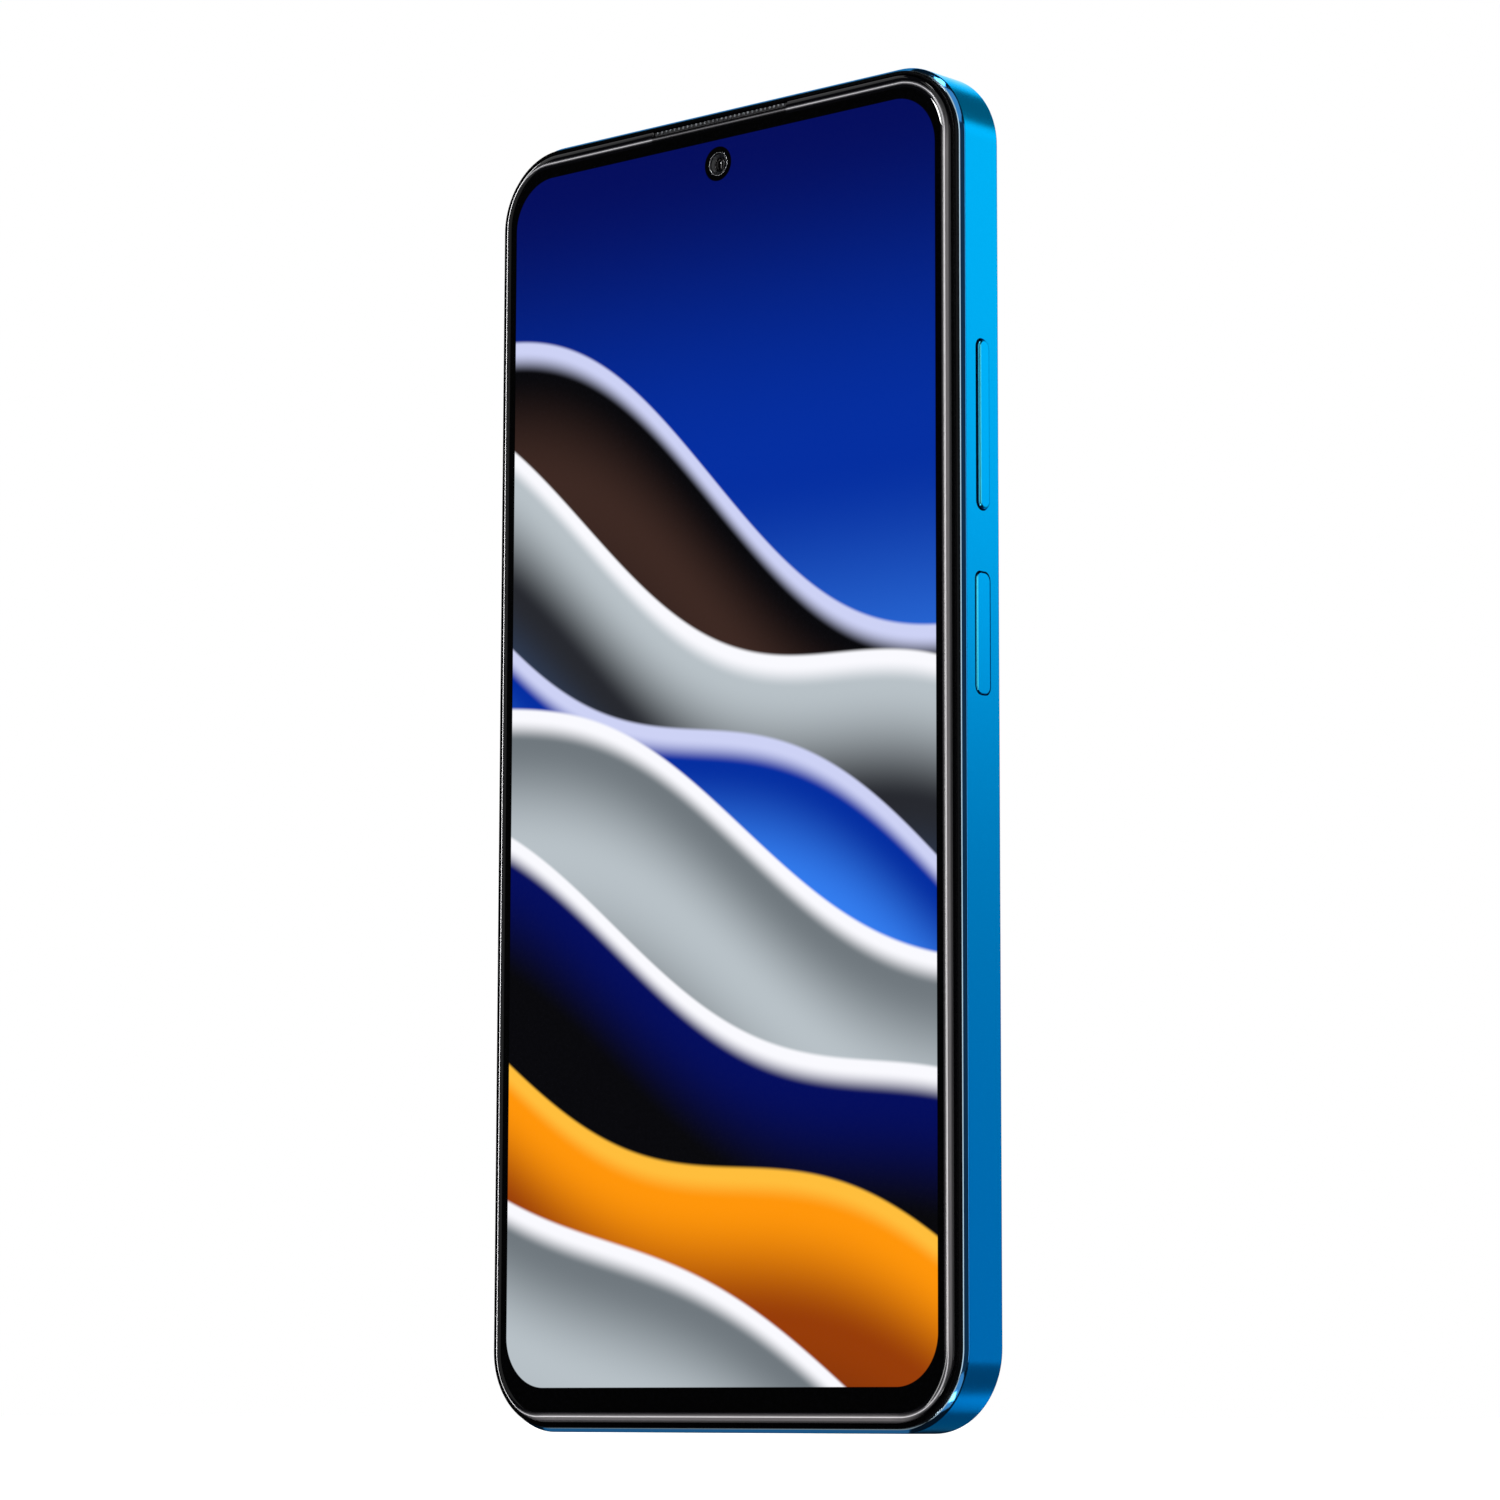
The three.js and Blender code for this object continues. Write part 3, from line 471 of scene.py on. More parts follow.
def key_blue():
    """The frame's blue on the keys and the tray, with a painted highlight, a pale cyan line, along each
    key's front edge.
    """
    finish = Finish("key_blue", Metallic=1.0, Specular_Tint=(0.3, 0.75, 1.0, 1.0))
    (x, y, z), point = finish.place()
    # darker towards the bottom, partly painted shade, as on the frame
    tone = (z / HEIGHT).ramp([(0.0, srgb(0, 132, 218)), (1.0, srgb(4, 172, 236))])
    halfway = (span("volume_rocker")[0].z + span("power_key")[1].z) / 2
    half_width = z.between(halfway - 1, halfway + 1, POWER_SIZE[0] / 2, VOLUME_SIZE[0] / 2)
    from_edge = y - middle("power_key").y + half_width
    # painted highlight: a pale cyan line laid on the rolled front edge of each key
    painted_key_edge = from_edge.between(0.34, 0.24) * x.between(HALF_WIDTH - 0.4, HALF_WIDTH - 0.2)
    finish.set("Base Color", over(tone, srgb(70, 222, 255), painted_key_edge))
    finish.set("Roughness", finish.noise(point, 6.0).between(0.2, 0.8, 0.18, 0.22))
    return finish.material


def gloss_back():
    """A clear coat over a layer that shifts from azure to deep blue, with a slow ripple of light in it."""
    finish = Finish("gloss_back", Metallic=0.75, Coat_Weight=0.8, Coat_Roughness=0.1)
    (x, _, z), point = finish.place()
    ripple = ((x * 0.035 + z * 0.02).sine() * 0.10) + (z / HEIGHT)
    tone = ripple.ramp([(0.05, srgb(2, 62, 128)), (0.5, srgb(3, 108, 186)), (1.0, srgb(20, 160, 226))])
    flake = finish.flakes(point, 11.0)
    finish.set("Base Color", over(tone, srgb(150, 220, 255), flake.between(0.8, 1.0, 0.0, 0.22)))
    finish.set("Roughness", flake.between(0.0, 1.0, 0.26, 0.4))
    return finish.material


def moulded(name, tone, light, roughness, grain=5.0, depth=0.012, specular=0.5):
    """Moulded plastic: a fine even texture with slight changes of tone."""
    finish = Finish(name, Specular_IOR_Level=specular)
    _, point = finish.place()
    spots = finish.noise(point, grain, 4.0)
    finish.set("Base Color", spots.ramp([(0.3, tone), (0.7, light)]))
    finish.set("Roughness", spots.between(0.3, 0.7, roughness - 0.05, roughness + 0.05))
    finish.bump(spots, depth, 0.5)
    return finish.material


def sheet_metal(name, tone, light, roughness, way, metallic=1.0):
    """Sheet or machined metal with grain that runs one way, given by how far each axis is stretched."""
    finish = Finish(name, Metallic=metallic)
    _, point = finish.place()
    grain = finish.noise(finish.stretched(point, way), 3.0, 5.0)
    finish.set("Base Color", grain.ramp([(0.3, tone), (0.7, light)]))
    finish.set("Roughness", grain.between(0.25, 0.75, roughness - 0.07, roughness + 0.09))
    finish.bump(grain, 0.01, 0.4)
    return finish.material


def lens_glass():
    """Coated clear glass: dark, with a faint violet and green cast that changes across it."""
    finish = Finish("lens_glass", Roughness=0.0, IOR=1.52, Transmission_Weight=1.0)
    _, point = finish.place()
    cast = finish.noise(point, 0.12, 1.0)
    finish.set("Base Color", cast.ramp([(0.35, srgb(118, 122, 160)), (0.65, srgb(124, 156, 150))]))
    return finish.material


def lens_barrel():
    """Black anodised rings, finely ribbed."""
    finish = Finish("lens_barrel", Specular_IOR_Level=0.6)
    _, point = finish.place()
    grain = finish.noise(point, 7.0, 2.0)
    finish.set("Base Color", grain.ramp([(0.3, srgb(8, 9, 12)), (0.7, srgb(20, 22, 28))]))
    finish.set("Roughness", grain.between(0.3, 0.7, 0.16, 0.26))
    return finish.material


def diffuser():
    """Frosted pale yellow plastic with fine ribs."""
    finish = Finish("diffuser", IOR=1.49, Coat_Weight=0.6, Coat_Roughness=0.1)
    (x, _, z), point = finish.place()
    ribs = (x * 14.0).sine() * (z * 14.0).sine()
    finish.set("Base Color", ribs.ramp([(0.0, srgb(226, 214, 160)), (1.0, srgb(250, 244, 214))]))
    finish.set("Roughness", finish.noise(point, 4.0).between(0.3, 0.7, 0.25, 0.4))
    finish.bump(ribs, 0.05, 0.6)
    return finish.material


def circuit_board():
    """Solder resist over faint traces, with pale pads here and there."""
    finish = Finish("circuit_board", Coat_Weight=0.3, Coat_Roughness=0.25)
    (x, _, z), point = finish.place()
    lines = ((x * 5.0).sine() * (z * 5.0).sine()).between(0.1, 0.5)
    board = over(srgb(10, 44, 30), srgb(18, 74, 46), lines)
    pads = finish.flakes(point, 0.9).between(0.9, 0.93)
    finish.set("Base Color", over(board, srgb(190, 170, 120), pads))
    finish.set("Roughness", pads.between(0.0, 1.0, 0.5, 0.3))
    finish.bump(lines, 0.02, 0.4)
    return finish.material


def flex_film():
    """Amber film with copper tracks along it."""
    finish = Finish("flex_film", Coat_Weight=0.5, Coat_Roughness=0.2)
    (x, _, _), point = finish.place()
    tracks = (x * 12.0).sine().between(0.0, 0.4)
    finish.set("Base Color", over(srgb(92, 48, 18), srgb(150, 86, 34), tracks))
    finish.set("Roughness", finish.noise(point, 2.0).between(0.3, 0.7, 0.35, 0.5))
    finish.bump(tracks, 0.02, 0.4)
    return finish.material


# ---- The picture on the screen: plain layered waves in blue, silver, black and orange -------

WHITE = srgb(250, 250, 255)
ICE = srgb(205, 210, 245)
SILVER = srgb(184, 193, 199)
GREY = srgb(112, 120, 126)
CHARCOAL = srgb(38, 40, 46)
BLACK = srgb(6, 6, 9)
BROWN = srgb(60, 40, 34)
NAVY = srgb(2, 12, 92)
ROYAL = srgb(2, 46, 160)
AZURE = srgb(52, 126, 240)
SLATE = srgb(58, 84, 124)
ORANGE = srgb(255, 150, 8)
AMBER = srgb(255, 190, 60)
RUST = srgb(150, 60, 6)

# from back to front: height of the crest at the left edge, its fall across the screen, the swell on it,
# where the swell starts, and the wave's colours from its crest down
WAVES = [
    (0.84, 0.24, 0.045, 0.6, (ICE, BLACK, BROWN, BLACK)),
    (0.74, 0.22, 0.040, 2.2, (WHITE, SILVER, CHARCOAL, SLATE)),
    (0.63, 0.24, 0.035, 3.9, (ICE, ROYAL, AZURE, ROYAL)),
    (0.55, 0.20, 0.030, 0.2, (WHITE, GREY, SILVER, CHARCOAL)),
    (0.42, 0.20, 0.030, 1.8, (WHITE, NAVY, BLACK, BLACK)),
    (0.27, 0.18, 0.030, 3.4, (AMBER, ORANGE, RUST, BLACK)),
    (0.17, 0.22, 0.020, 5.0, (WHITE, GREY, SILVER, GREY)),
]
WAVE_DEPTH = 0.26
SWELL_TURN = 5.2  # radians of swell across the screen


def picture(x, z):
    """The colour of the lit picture at each point, in screen shares s (across) and t (up)."""
    s = (x + LIT_HALF_WIDTH) / (2 * LIT_HALF_WIDTH)
    t = (z - LIT_LOW) / (LIT_HIGH - LIT_LOW)
    color = t.ramp([(0.45, AZURE), (0.72, ROYAL), (1.0, NAVY)])
    for height, fall, swell, start, (rim, near, body, far) in WAVES:
        crest = (s * SWELL_TURN + start).sine() * swell - s * fall + height
        depth = (crest - t) / WAVE_DEPTH
        shade = depth.ramp([(0.0, rim), (0.03, rim), (0.1, near), (0.45, body), (1.0, far)])
        color = over(color, shade, depth.between(-0.008, 0.008))
    return color


def beyond(x, z, low, high, radius):
    """How far a point lies outside a rounded rectangle, in millimetres; less than 0 inside it."""
    across = (x - (low[0] + high[0]) / 2).size() - ((high[0] - low[0]) / 2 - radius)
    along = (z - (low[1] + high[1]) / 2).size() - ((high[1] - low[1]) / 2 - radius)
    corner = (across.most(0.0).square() + along.most(0.0).square()).root()
    return corner + across.most(along).least(0.0) - radius


# the rounded rectangle along which the painted reflection line runs round the glass edge
EDGE_REFLECTION_LOW = (-36.65, 1.9)
EDGE_REFLECTION_HIGH = (36.2, 161.9)
EDGE_REFLECTION_RADIUS = 7.3
EAR_WIDTH = 22.4


def screen_glass():
    """Polished glass: a black border with a painted reflection, a pale line, in its rounded edge, and the
    lit picture inside.
    """
    finish = Finish("screen_glass", Roughness=0.015, IOR=1.55)
    (x, y, z), point = finish.place()
    outside = beyond(x, z, (-LIT_HALF_WIDTH, LIT_LOW), (LIT_HALF_WIDTH, LIT_HIGH), LIT_RADIUS)
    from_camera = (x.square() + (z - middle("front_camera").z).square()).root()
    clear_of_camera = from_camera.between(CAMERA_BORDER - 0.05, CAMERA_BORDER + 0.05)
    lit = outside.between(0.05, -0.05) * clear_of_camera * y.between(FRONT + 0.1, FRONT + 0.05)
    border = finish.noise(point, 2.0).ramp([(0.3, srgb(0, 0, 0)), (0.7, srgb(2, 2, 3))])
    # painted reflection: a pale line that follows the glass's rounded edge, a thin core all round and
    # broader grey lobes on the right side and the bottom
    line = beyond(x, z, EDGE_REFLECTION_LOW, EDGE_REFLECTION_HIGH, EDGE_REFLECTION_RADIUS)
    share = (line + 0.6) / 1.3
    thin = share.ramp([
        (0.25, BLACK), (0.38, srgb(84, 84, 87)), (0.46, srgb(216, 214, 218)), (0.54, srgb(84, 84, 87)),
        (0.66, BLACK),
    ])
    broad = share.ramp([
        (0.04, BLACK), (0.16, srgb(50, 48, 50)), (0.31, srgb(100, 98, 100)), (0.40, srgb(168, 166, 168)),
        (0.46, srgb(255, 253, 255)), (0.52, srgb(116, 113, 115)), (0.72, srgb(108, 105, 107)),
        (0.85, srgb(52, 50, 52)), (1.0, BLACK),
    ])
    upright = (z - HEIGHT / 2).size().between(76.5, 70.0) * x.between(-10.0, 10.0)
    level = x.size().between(33.0, 27.0) * z.between(80.0, 60.0)
    straight = upright.most(level)
    past_slot = x.size().between(EAR_WIDTH / 2 - 0.3, EAR_WIDTH / 2 + 0.3)
    off_slot = past_slot.most(z.between(100.0, 80.0))
    # how strongly the painted reflection shows: only near the edge, and weaker beside the earpiece slot
    strength = line.between(-0.62, -0.55) * off_slot.between(0.0, 1.0, 0.3, 1.0)
    finish.set("Base Color", over(border, over(thin, broad, straight), strength))
    finish.set("Emission Color", over((0, 0, 0, 1), picture(x, z), lit))
    finish.shader.inputs["Emission Strength"].default_value = 1.0
    return finish.material


FINISHES = {
    # each pair of blues runs from bottom to top; the fall towards the bottom is partly painted shade
    "blue_frame": metallic_blue("blue_frame", srgb(0, 128, 214), srgb(4, 168, 230), 0.23),
    "blue_keys": key_blue(),
    "blue_back": gloss_back(),
    "island_metal": metallic_blue("island_metal", srgb(0, 70, 140), srgb(2, 104, 180), 0.24),
    "black_bezel": moulded("black_bezel", srgb(1, 1, 2), srgb(3, 3, 4), 0.25, 8.0, 0.0, 0.04),
    "screen_glass": screen_glass(),
    "panel": moulded("panel", srgb(18, 18, 21), srgb(26, 26, 30), 0.25, 1.0, 0.0),
    "alloy": sheet_metal("alloy", srgb(120, 123, 128), srgb(160, 163, 168), 0.42, (1, 1, 0.1)),
    "lens_glass": lens_glass(),
    "lens_barrel": lens_barrel(),
    "diffuser": diffuser(),
    "steel": sheet_metal("steel", srgb(176, 178, 182), srgb(214, 216, 220), 0.3, (1, 1, 0.12)),
    "copper": sheet_metal("copper", srgb(196, 120, 80), srgb(226, 150, 104), 0.32, (0.1, 1, 1)),
    "circuit_board": circuit_board(),
    "flex": flex_film(),
    "battery_wrap": sheet_metal("battery_wrap", srgb(40, 41, 44), srgb(64, 65, 70), 0.4, (1, 1, 1), 0.6),
    "black_plastic": moulded("black_plastic", srgb(18, 18, 20), srgb(34, 34, 37), 0.5, 3.0, 0.02),
    "rubber": moulded("rubber", srgb(24, 24, 25), srgb(40, 40, 42), 0.75, 4.0, 0.03),
}


def stand_in(piece, slot, *nodes):
    """A detailed piece takes its slot's finish, and stands for CAD nodes on the body that they ride on."""
    piece.data.materials.clear()
    piece.data.materials.append(FINISHES[slot])
    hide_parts(*nodes)
    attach(piece, frame["nodes"][nodes[0]]["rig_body"])
    return piece


def extra(piece, slot, body="body"):
    """A detailed piece that no CAD node shows."""
    piece.data.materials.clear()
    piece.data.materials.append(FINISHES[slot])
    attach(piece, body)
    return piece


def dome_profile(radius, base, rise):
    arc = [math.pi / 2 * i / 10 for i in range(11)]
    return [(radius * math.cos(a), base + rise * math.sin(a)) for a in arc]


def dome(name, face, radius, base, rise, body="body"):
    """The bulging front lens of a camera."""
    return extra(turned(name, face, dome_profile(radius, base, rise), 18), "lens_glass", body)


# ---- Outer shells ------------------------------------------------------------------------


KEY_GAP_FRONT = 0.3
KEY_GAP_BACK = 0.02


def key_slot(node, width, length):
    """A key's opening, with a wider gap on the screen side."""
    key = middle(node)
    centre = key_side(key.y + (KEY_GAP_BACK - KEY_GAP_FRONT) / 2, key.z)
    return opening(centre, width + KEY_GAP_FRONT + KEY_GAP_BACK, length + 0.3, 1.1, WALL + 1, 0.04)


USB_SIZE = (9.1, 3.4)
SPEAKER_HOLES = 6
SPEAKER_PITCH = 2.3
MAIN_MIC_X = middle("main_microphone").x
TOP_MIC_X = middle("top_microphone").x


def side_frame():
    profile = [
        (0, BACK - 0.2), (0, FRAME_FRONT + CHAMFER[1]), (CHAMFER[0], FRAME_FRONT),
        (WALL, FRAME_FRONT), (WALL, LEDGE), (REAR_LIP, LEDGE), (REAR_LIP, BACK), (0.2, BACK),
    ]
    ring = phone_loft("frame", soften(profile, 0.16, 4, closed=True), closed=True)
    tray = middle("sim_tray_seal")
    tray_low, tray_high = span("sim_tray_seal")
    speaker = middle("loudspeaker_mesh")
    jack = middle("audio_jack")
    infrared = middle("ir_emitter")
    holes = [
        key_slot("volume_rocker", *VOLUME_SIZE),
        key_slot("power_key", *POWER_SIZE),
        opening(tray_side(tray.y, tray.z), 2.1, tray_high.z - tray_low.z + 0.3, 1.05, WALL + 1, 0.06),
        opening(bottom_face(0, BAND_CENTRE), *USB_SIZE, USB_SIZE[1] / 2, WALL + 1, 0.18),
        round_opening(bottom_face(MAIN_MIC_X, BAND_CENTRE), 0.5, WALL + 1, 0.08),
        round_opening(top_face(jack.x, jack.y), 2.25, WALL + 1, 0.15),
        round_opening(top_face(infrared.x, BAND_CENTRE), 1.3, WALL + 1, 0.08),
        round_opening(top_face(TOP_MIC_X, BAND_CENTRE), 0.5, WALL + 1, 0.08),
    ]
    for i in range(SPEAKER_HOLES):
        x = speaker.x + (i - (SPEAKER_HOLES - 1) / 2) * SPEAKER_PITCH
        holes.append(round_opening(bottom_face(x, BAND_CENTRE), 0.65, WALL + 1, 0.1))
    stand_in(cut(ring, holes, 30), "blue_frame", "side_frame")


def front_bezel():
    step = BEZEL_LOW.y
    profile = [
        (0.58, BEZEL_HIGH.y), (0.58, step), (1.12, step), (1.12, GLASS_HIGH.y + 0.05),
        (2.45, GLASS_HIGH.y + 0.05), (2.45, BEZEL_HIGH.y),
    ]
    rim = phone_loft("bezel", soften(profile, 0.14, 4, closed=True), closed=True)
    stand_in(rim, "black_bezel", "front_bezel")


EAR_LOW = HEIGHT - 1.95
GLASS_INSET = 1.2
GLASS_EDGE = (1.3, 0.45)  # across the front, through the thickness
CAMERA_HOLE = 1.53


def quarter_edge(width, depth, steps):
    """The rounded edge of a sheet, as (inset, height below its face), from its side to its face."""
    angles = [math.pi / 2 * i / steps for i in range(steps + 1)]
    return [(width * (1 - math.cos(a)), -depth * (1 - math.sin(a))) for a in angles]


def cover_glass():
    edge = [(GLASS_INSET + inset, FRONT - level) for inset, level in quarter_edge(*GLASS_EDGE, 12)]
    sheet = phone_loft("glass", [(GLASS_INSET, GLASS_HIGH.y), *edge], sharp_degrees=50)
    notch_height = 1.5
    notch = loft("tool", screen_face(0, EAR_LOW + notch_height / 2), EAR_WIDTH, notch_height, 0.36,
                 [(0, -GLASS_HIGH.y - 1), (0, -FRONT + 1)])
    camera = middle("front_camera")
    through = [(CAMERA_HOLE, -GLASS_HIGH.y - 1), (CAMERA_HOLE, -FRONT + 1)]
    hole = turned("tool", screen_face(0, camera.z), through)
    stand_in(cut(sheet, [notch, hole], 50), "screen_glass", "cover_glass")


def earpiece():
    """A dark strip with a row of small bars along its upper side."""
    low, high = span("earpiece_mesh")
    centre = screen_face(0, (low.z + high.z) / 2)
    width, height = high.x - low.x, high.z - low.z
    strip = loft("strip", centre, width, height, 0.2, [(0, -high.y), (0, -low.y - 0.1)])
    stand_in(strip, "black_plastic", "earpiece_mesh")
    strip.name = "earpiece_strip"
    pitch = 0.72
    count = int(width / pitch)
    bars = []
    for i in range(count):
        x = (i - (count - 1) / 2) * pitch
        bar = loft("bar", screen_face(x, high.z - 0.16), 0.26, 0.3, 0.08,
                   soften([(0, -low.y - 0.12), (0, -low.y + 0.04), (0.1, -low.y + 0.04)], 0.03))
        bars.append(bar)
    extra(join("earpiece_bars", bars), "alloy")


def front_camera():
    """In the hole in the glass: a thin bright ring, a stepped black cone and a small dome lens."""
    low, high = span("front_camera")
    face = screen_face(0, (low.z + high.z) / 2)
    width = high.x - low.x
    box = loft("box", face, width, high.z - low.z, 0.5, soften([(0, -high.y), (0, 1.5), (0.3, 1.5)], 0.2))
    top = -FRONT - 0.03
    barrel = turned("barrel", face, [
        (1.5, 1.4), (1.5, top - 0.35), (1.3, top - 0.35), (1.27, top - 0.14), (1.2, top - 0.12),
        (0.9, top - 0.36), (0.86, top - 0.5),
    ], 18)
    stand_in(join("front_camera_body", [box, barrel]), "lens_barrel", "front_camera")
    ring = [(1.52, top - 0.3), (1.52, top), (1.42, top), (1.42, top - 0.3)]
    extra(turned("front_camera_ring", face, soften(ring, 0.05, 4, closed=True), 18, True), "steel")
    rim = [(0.86, top - 0.45), (0.86, top - 0.28), (0.74, top - 0.28), (0.74, top - 0.45)]
    rim = turned("rim", face, soften(rim, 0.055, 5, closed=True), 18, True)
    lens = turned("lens", face, dome_profile(0.74, top - 0.46, 0.26), 18)
    extra(join("front_camera_lens", [rim, lens]), "screen_glass")


# ---- Keys and tray -------------------------------------------------------------------------


def side_key(node, size, rounding):
    """A key's cap with a rolled edge, on a flange that keeps it behind the wall."""
    low, high = span(node)
    face = key_side((low.y + high.y) / 2, (low.z + high.z) / 2)
    proud = max(high.x - HALF_WIDTH, 0.0)
    cap = loft("cap", face, *size, 1.0, [(0, -WALL - 0.5), *(
        (inset, proud + level) for inset, level in quarter_edge(rounding, rounding, 6))], sharp_degrees=50)
    flange = loft("flange", face, size[0] + 1, size[1] + 2, 0.6, [(0, -WALL - 0.8), (0, -WALL - 0.3)])
    return cap, flange


def keys():
    for node, size, rounding in (("volume_rocker", VOLUME_SIZE, 0.3), ("power_key", POWER_SIZE, 0.14)):
        cap, flange = side_key(node, size, rounding)
        stand_in(join(node + "_cap", [cap, flange]), "blue_keys", node)


TRAY_CAP = (1.9, 17.0)
CARRIER = (25.15, 12.6)
CARRIER_X = -23.575
CARD_CENTRES = (-29.8, -17.5)


def card_tray():
    """The cap with its pin hole, the neck that carries the seal, and the carrier with two card beds."""
    low, high = span("sim_tray_seal")
    y, z = (low.y + high.y) / 2, (low.z + high.z) / 2
    edge = quarter_edge(0.14, 0.14, 5)
    cap = loft("cap", tray_side(y, z), *TRAY_CAP, 0.9, [(0, -1.1), *edge], OUTLINE, sharp_degrees=50)
    rod = middle("eject_rod")
    cut(cap, [round_opening(tray_side(y - 0.1, rod.z), 0.45, 3, 0.1)], 50)
    neck = loft("neck", tray_side(y, z), 1.2, TRAY_CAP[1] - 1.4, 0.4, [(0, -2.0), (0, -1.0)])
    cut(neck, [round_opening(tray_side(y - 0.1, rod.z), 0.45, 3, 0.1)])
    edge = soften([(0, 0), (0, 0.8), (0.08, 0.8)], 0.04)
    carrier = loft("carrier", back_face(CARRIER_X, z), *CARRIER, 0.5, edge)
    beds = []
    for x in CARD_CENTRES:
        beds.append(opening(back_face(x, z, 0.8), 11.3, 9.4, 0.6, 0.55, 0.06))
        beds.append(opening(back_face(x, z, 0.8), 7.7, 6.6, 0.4, 2, 0.001))
    cut(carrier, beds)
    stand_in(join("sim_tray_body", [cap, neck, carrier]), "blue_keys", "sim_tray")


# ---- Ports -----------------------------------------------------------------------------------


def charging_port():
    """A drawn steel shell with a rolled mouth, and a tongue with a row of contacts on each face."""
    low, high = span("usb_port_shell")
    face = bottom_face(0, (low.y + high.y) / 2)
    width, height = high.x - low.x, high.y - low.y
    mouth = soften([(0, -high.z), (0, -low.z), (0.3, -low.z), (0.3, 0.5 - high.z)], 0.14, 5)
    stand_in(loft("usb_port_shell_drawn", face, width, height, height / 2, mouth), "steel", "usb_port_shell")
    tongue_low, tongue_high = span("usb_port_tongue")
    tip, inner_end = -tongue_low.z, -tongue_high.z
    blade = loft("blade", face, 6.7, 0.7, 0.1, [(0.12, tip), (0, tip - 0.12), (0, inner_end)])
    root_profile = [(0, inner_end), (0, inner_end + 1.5), (0.1, inner_end + 1.6)]
    root = loft("root", face, 7.4, tongue_high.y - tongue_low.y, 0.2, root_profile)
    stand_in(join("usb_port_tongue_moulded", [blade, root]), "black_plastic", "usb_port_tongue")
    contacts = []
    for i in range(12):
        x = (i - 5.5) * 0.5
        for side in (-1, 1):
            y = (low.y + high.y) / 2 + side * 0.34
            strip = [(0, -5.2), (0, -2.0), (0.01, -1.9)]
            contacts.append(loft("contact", bottom_face(x, y), 0.26, 0.06, 0.02, strip, 3))
    extra(join("usb_port_contacts", contacts), "copper")


JACK_Y = 0.7


def headphone_jack():
    """A moulded block with a bore, and two sprung rings inside it."""
    low, high = span("audio_jack")
    x, y = (low.x + high.x) / 2, (low.y + high.y) / 2
    face = top_face(x, JACK_Y)
    depth = HEIGHT - low.z
    sides = [(0, -depth), (0, -2.3), (0.1, -2.2)]
    block = loft("block", top_face(x, y), high.x - low.x, high.y - low.y, 0.4, sides)
    tube = soften([(2.1, -2.6), (2.1, -0.2), (1.7, -0.2), (1.7, -2.6)], 0.1, 4, closed=True)
    nose = turned("nose", face, tube, 16, closed=True)
    cut(block, [turned("tool", face, [(1.78, 1 - depth), (1.78, 1)], 16)])
    stand_in(join("audio_jack_moulded", [block, nose]), "black_plastic", "audio_jack")
    rings = []
    for level in (-1.5, -5.0):
        section = [(1.7, level), (1.7, level + 0.5), (1.56, level + 0.25), (1.56, level + 0.2)]
        rings.append(turned("ring", face, soften(section, 0.05, 3, closed=True), closed=True))
    extra(join("audio_jack_contacts", rings), "copper")


def infrared_window():
    low, high = span("ir_emitter")
    face = top_face((low.x + high.x) / 2, BAND_CENTRE)
    behind = top_face(face.centre.x, (low.y + high.y) / 2)
    sides = [(0, low.z - HEIGHT), (0, -WALL - 0.3), (0.1, -WALL - 0.2)]
    block = loft("block", behind, high.x - low.x, high.y - low.y, 0.3, sides)
    stem = [(1.15, -WALL - 0.3), *dome_profile(1.15, high.z - HEIGHT - 0.5, 0.5)]
    lens = turned("lens", face, stem)
    stand_in(join("ir_emitter_domed", [block, lens]), "lens_barrel", "ir_emitter")


# ---- Back ------------------------------------------------------------------------------------

# the radius of the barrel behind each window
REAR_LENSES = {
    "main_camera_window": 3.4, "wide_camera_window": 3.1, "macro_camera_window": 1.9, "flash_lens": 1.6,
}


def rear_cover():
    inset = HALF_WIDTH - COVER_HIGH.x
    edge = [(inset + across, BACK + level) for across, level in quarter_edge(0.6, 0.25, 8)]
    sheet = phone_loft("cover", [(inset, COVER_LOW.y), *edge], sharp_degrees=50)
    holes = []
    for node, barrel in REAR_LENSES.items():
        centre = middle(node)
        through = [(barrel + 0.6, COVER_LOW.y - 1), (barrel + 0.6, BACK + 1)]
        holes.append(turned("tool", back_face(centre.x, centre.z), through))
    stand_in(cut(sheet, holes, 50), "blue_back", "rear_cover")


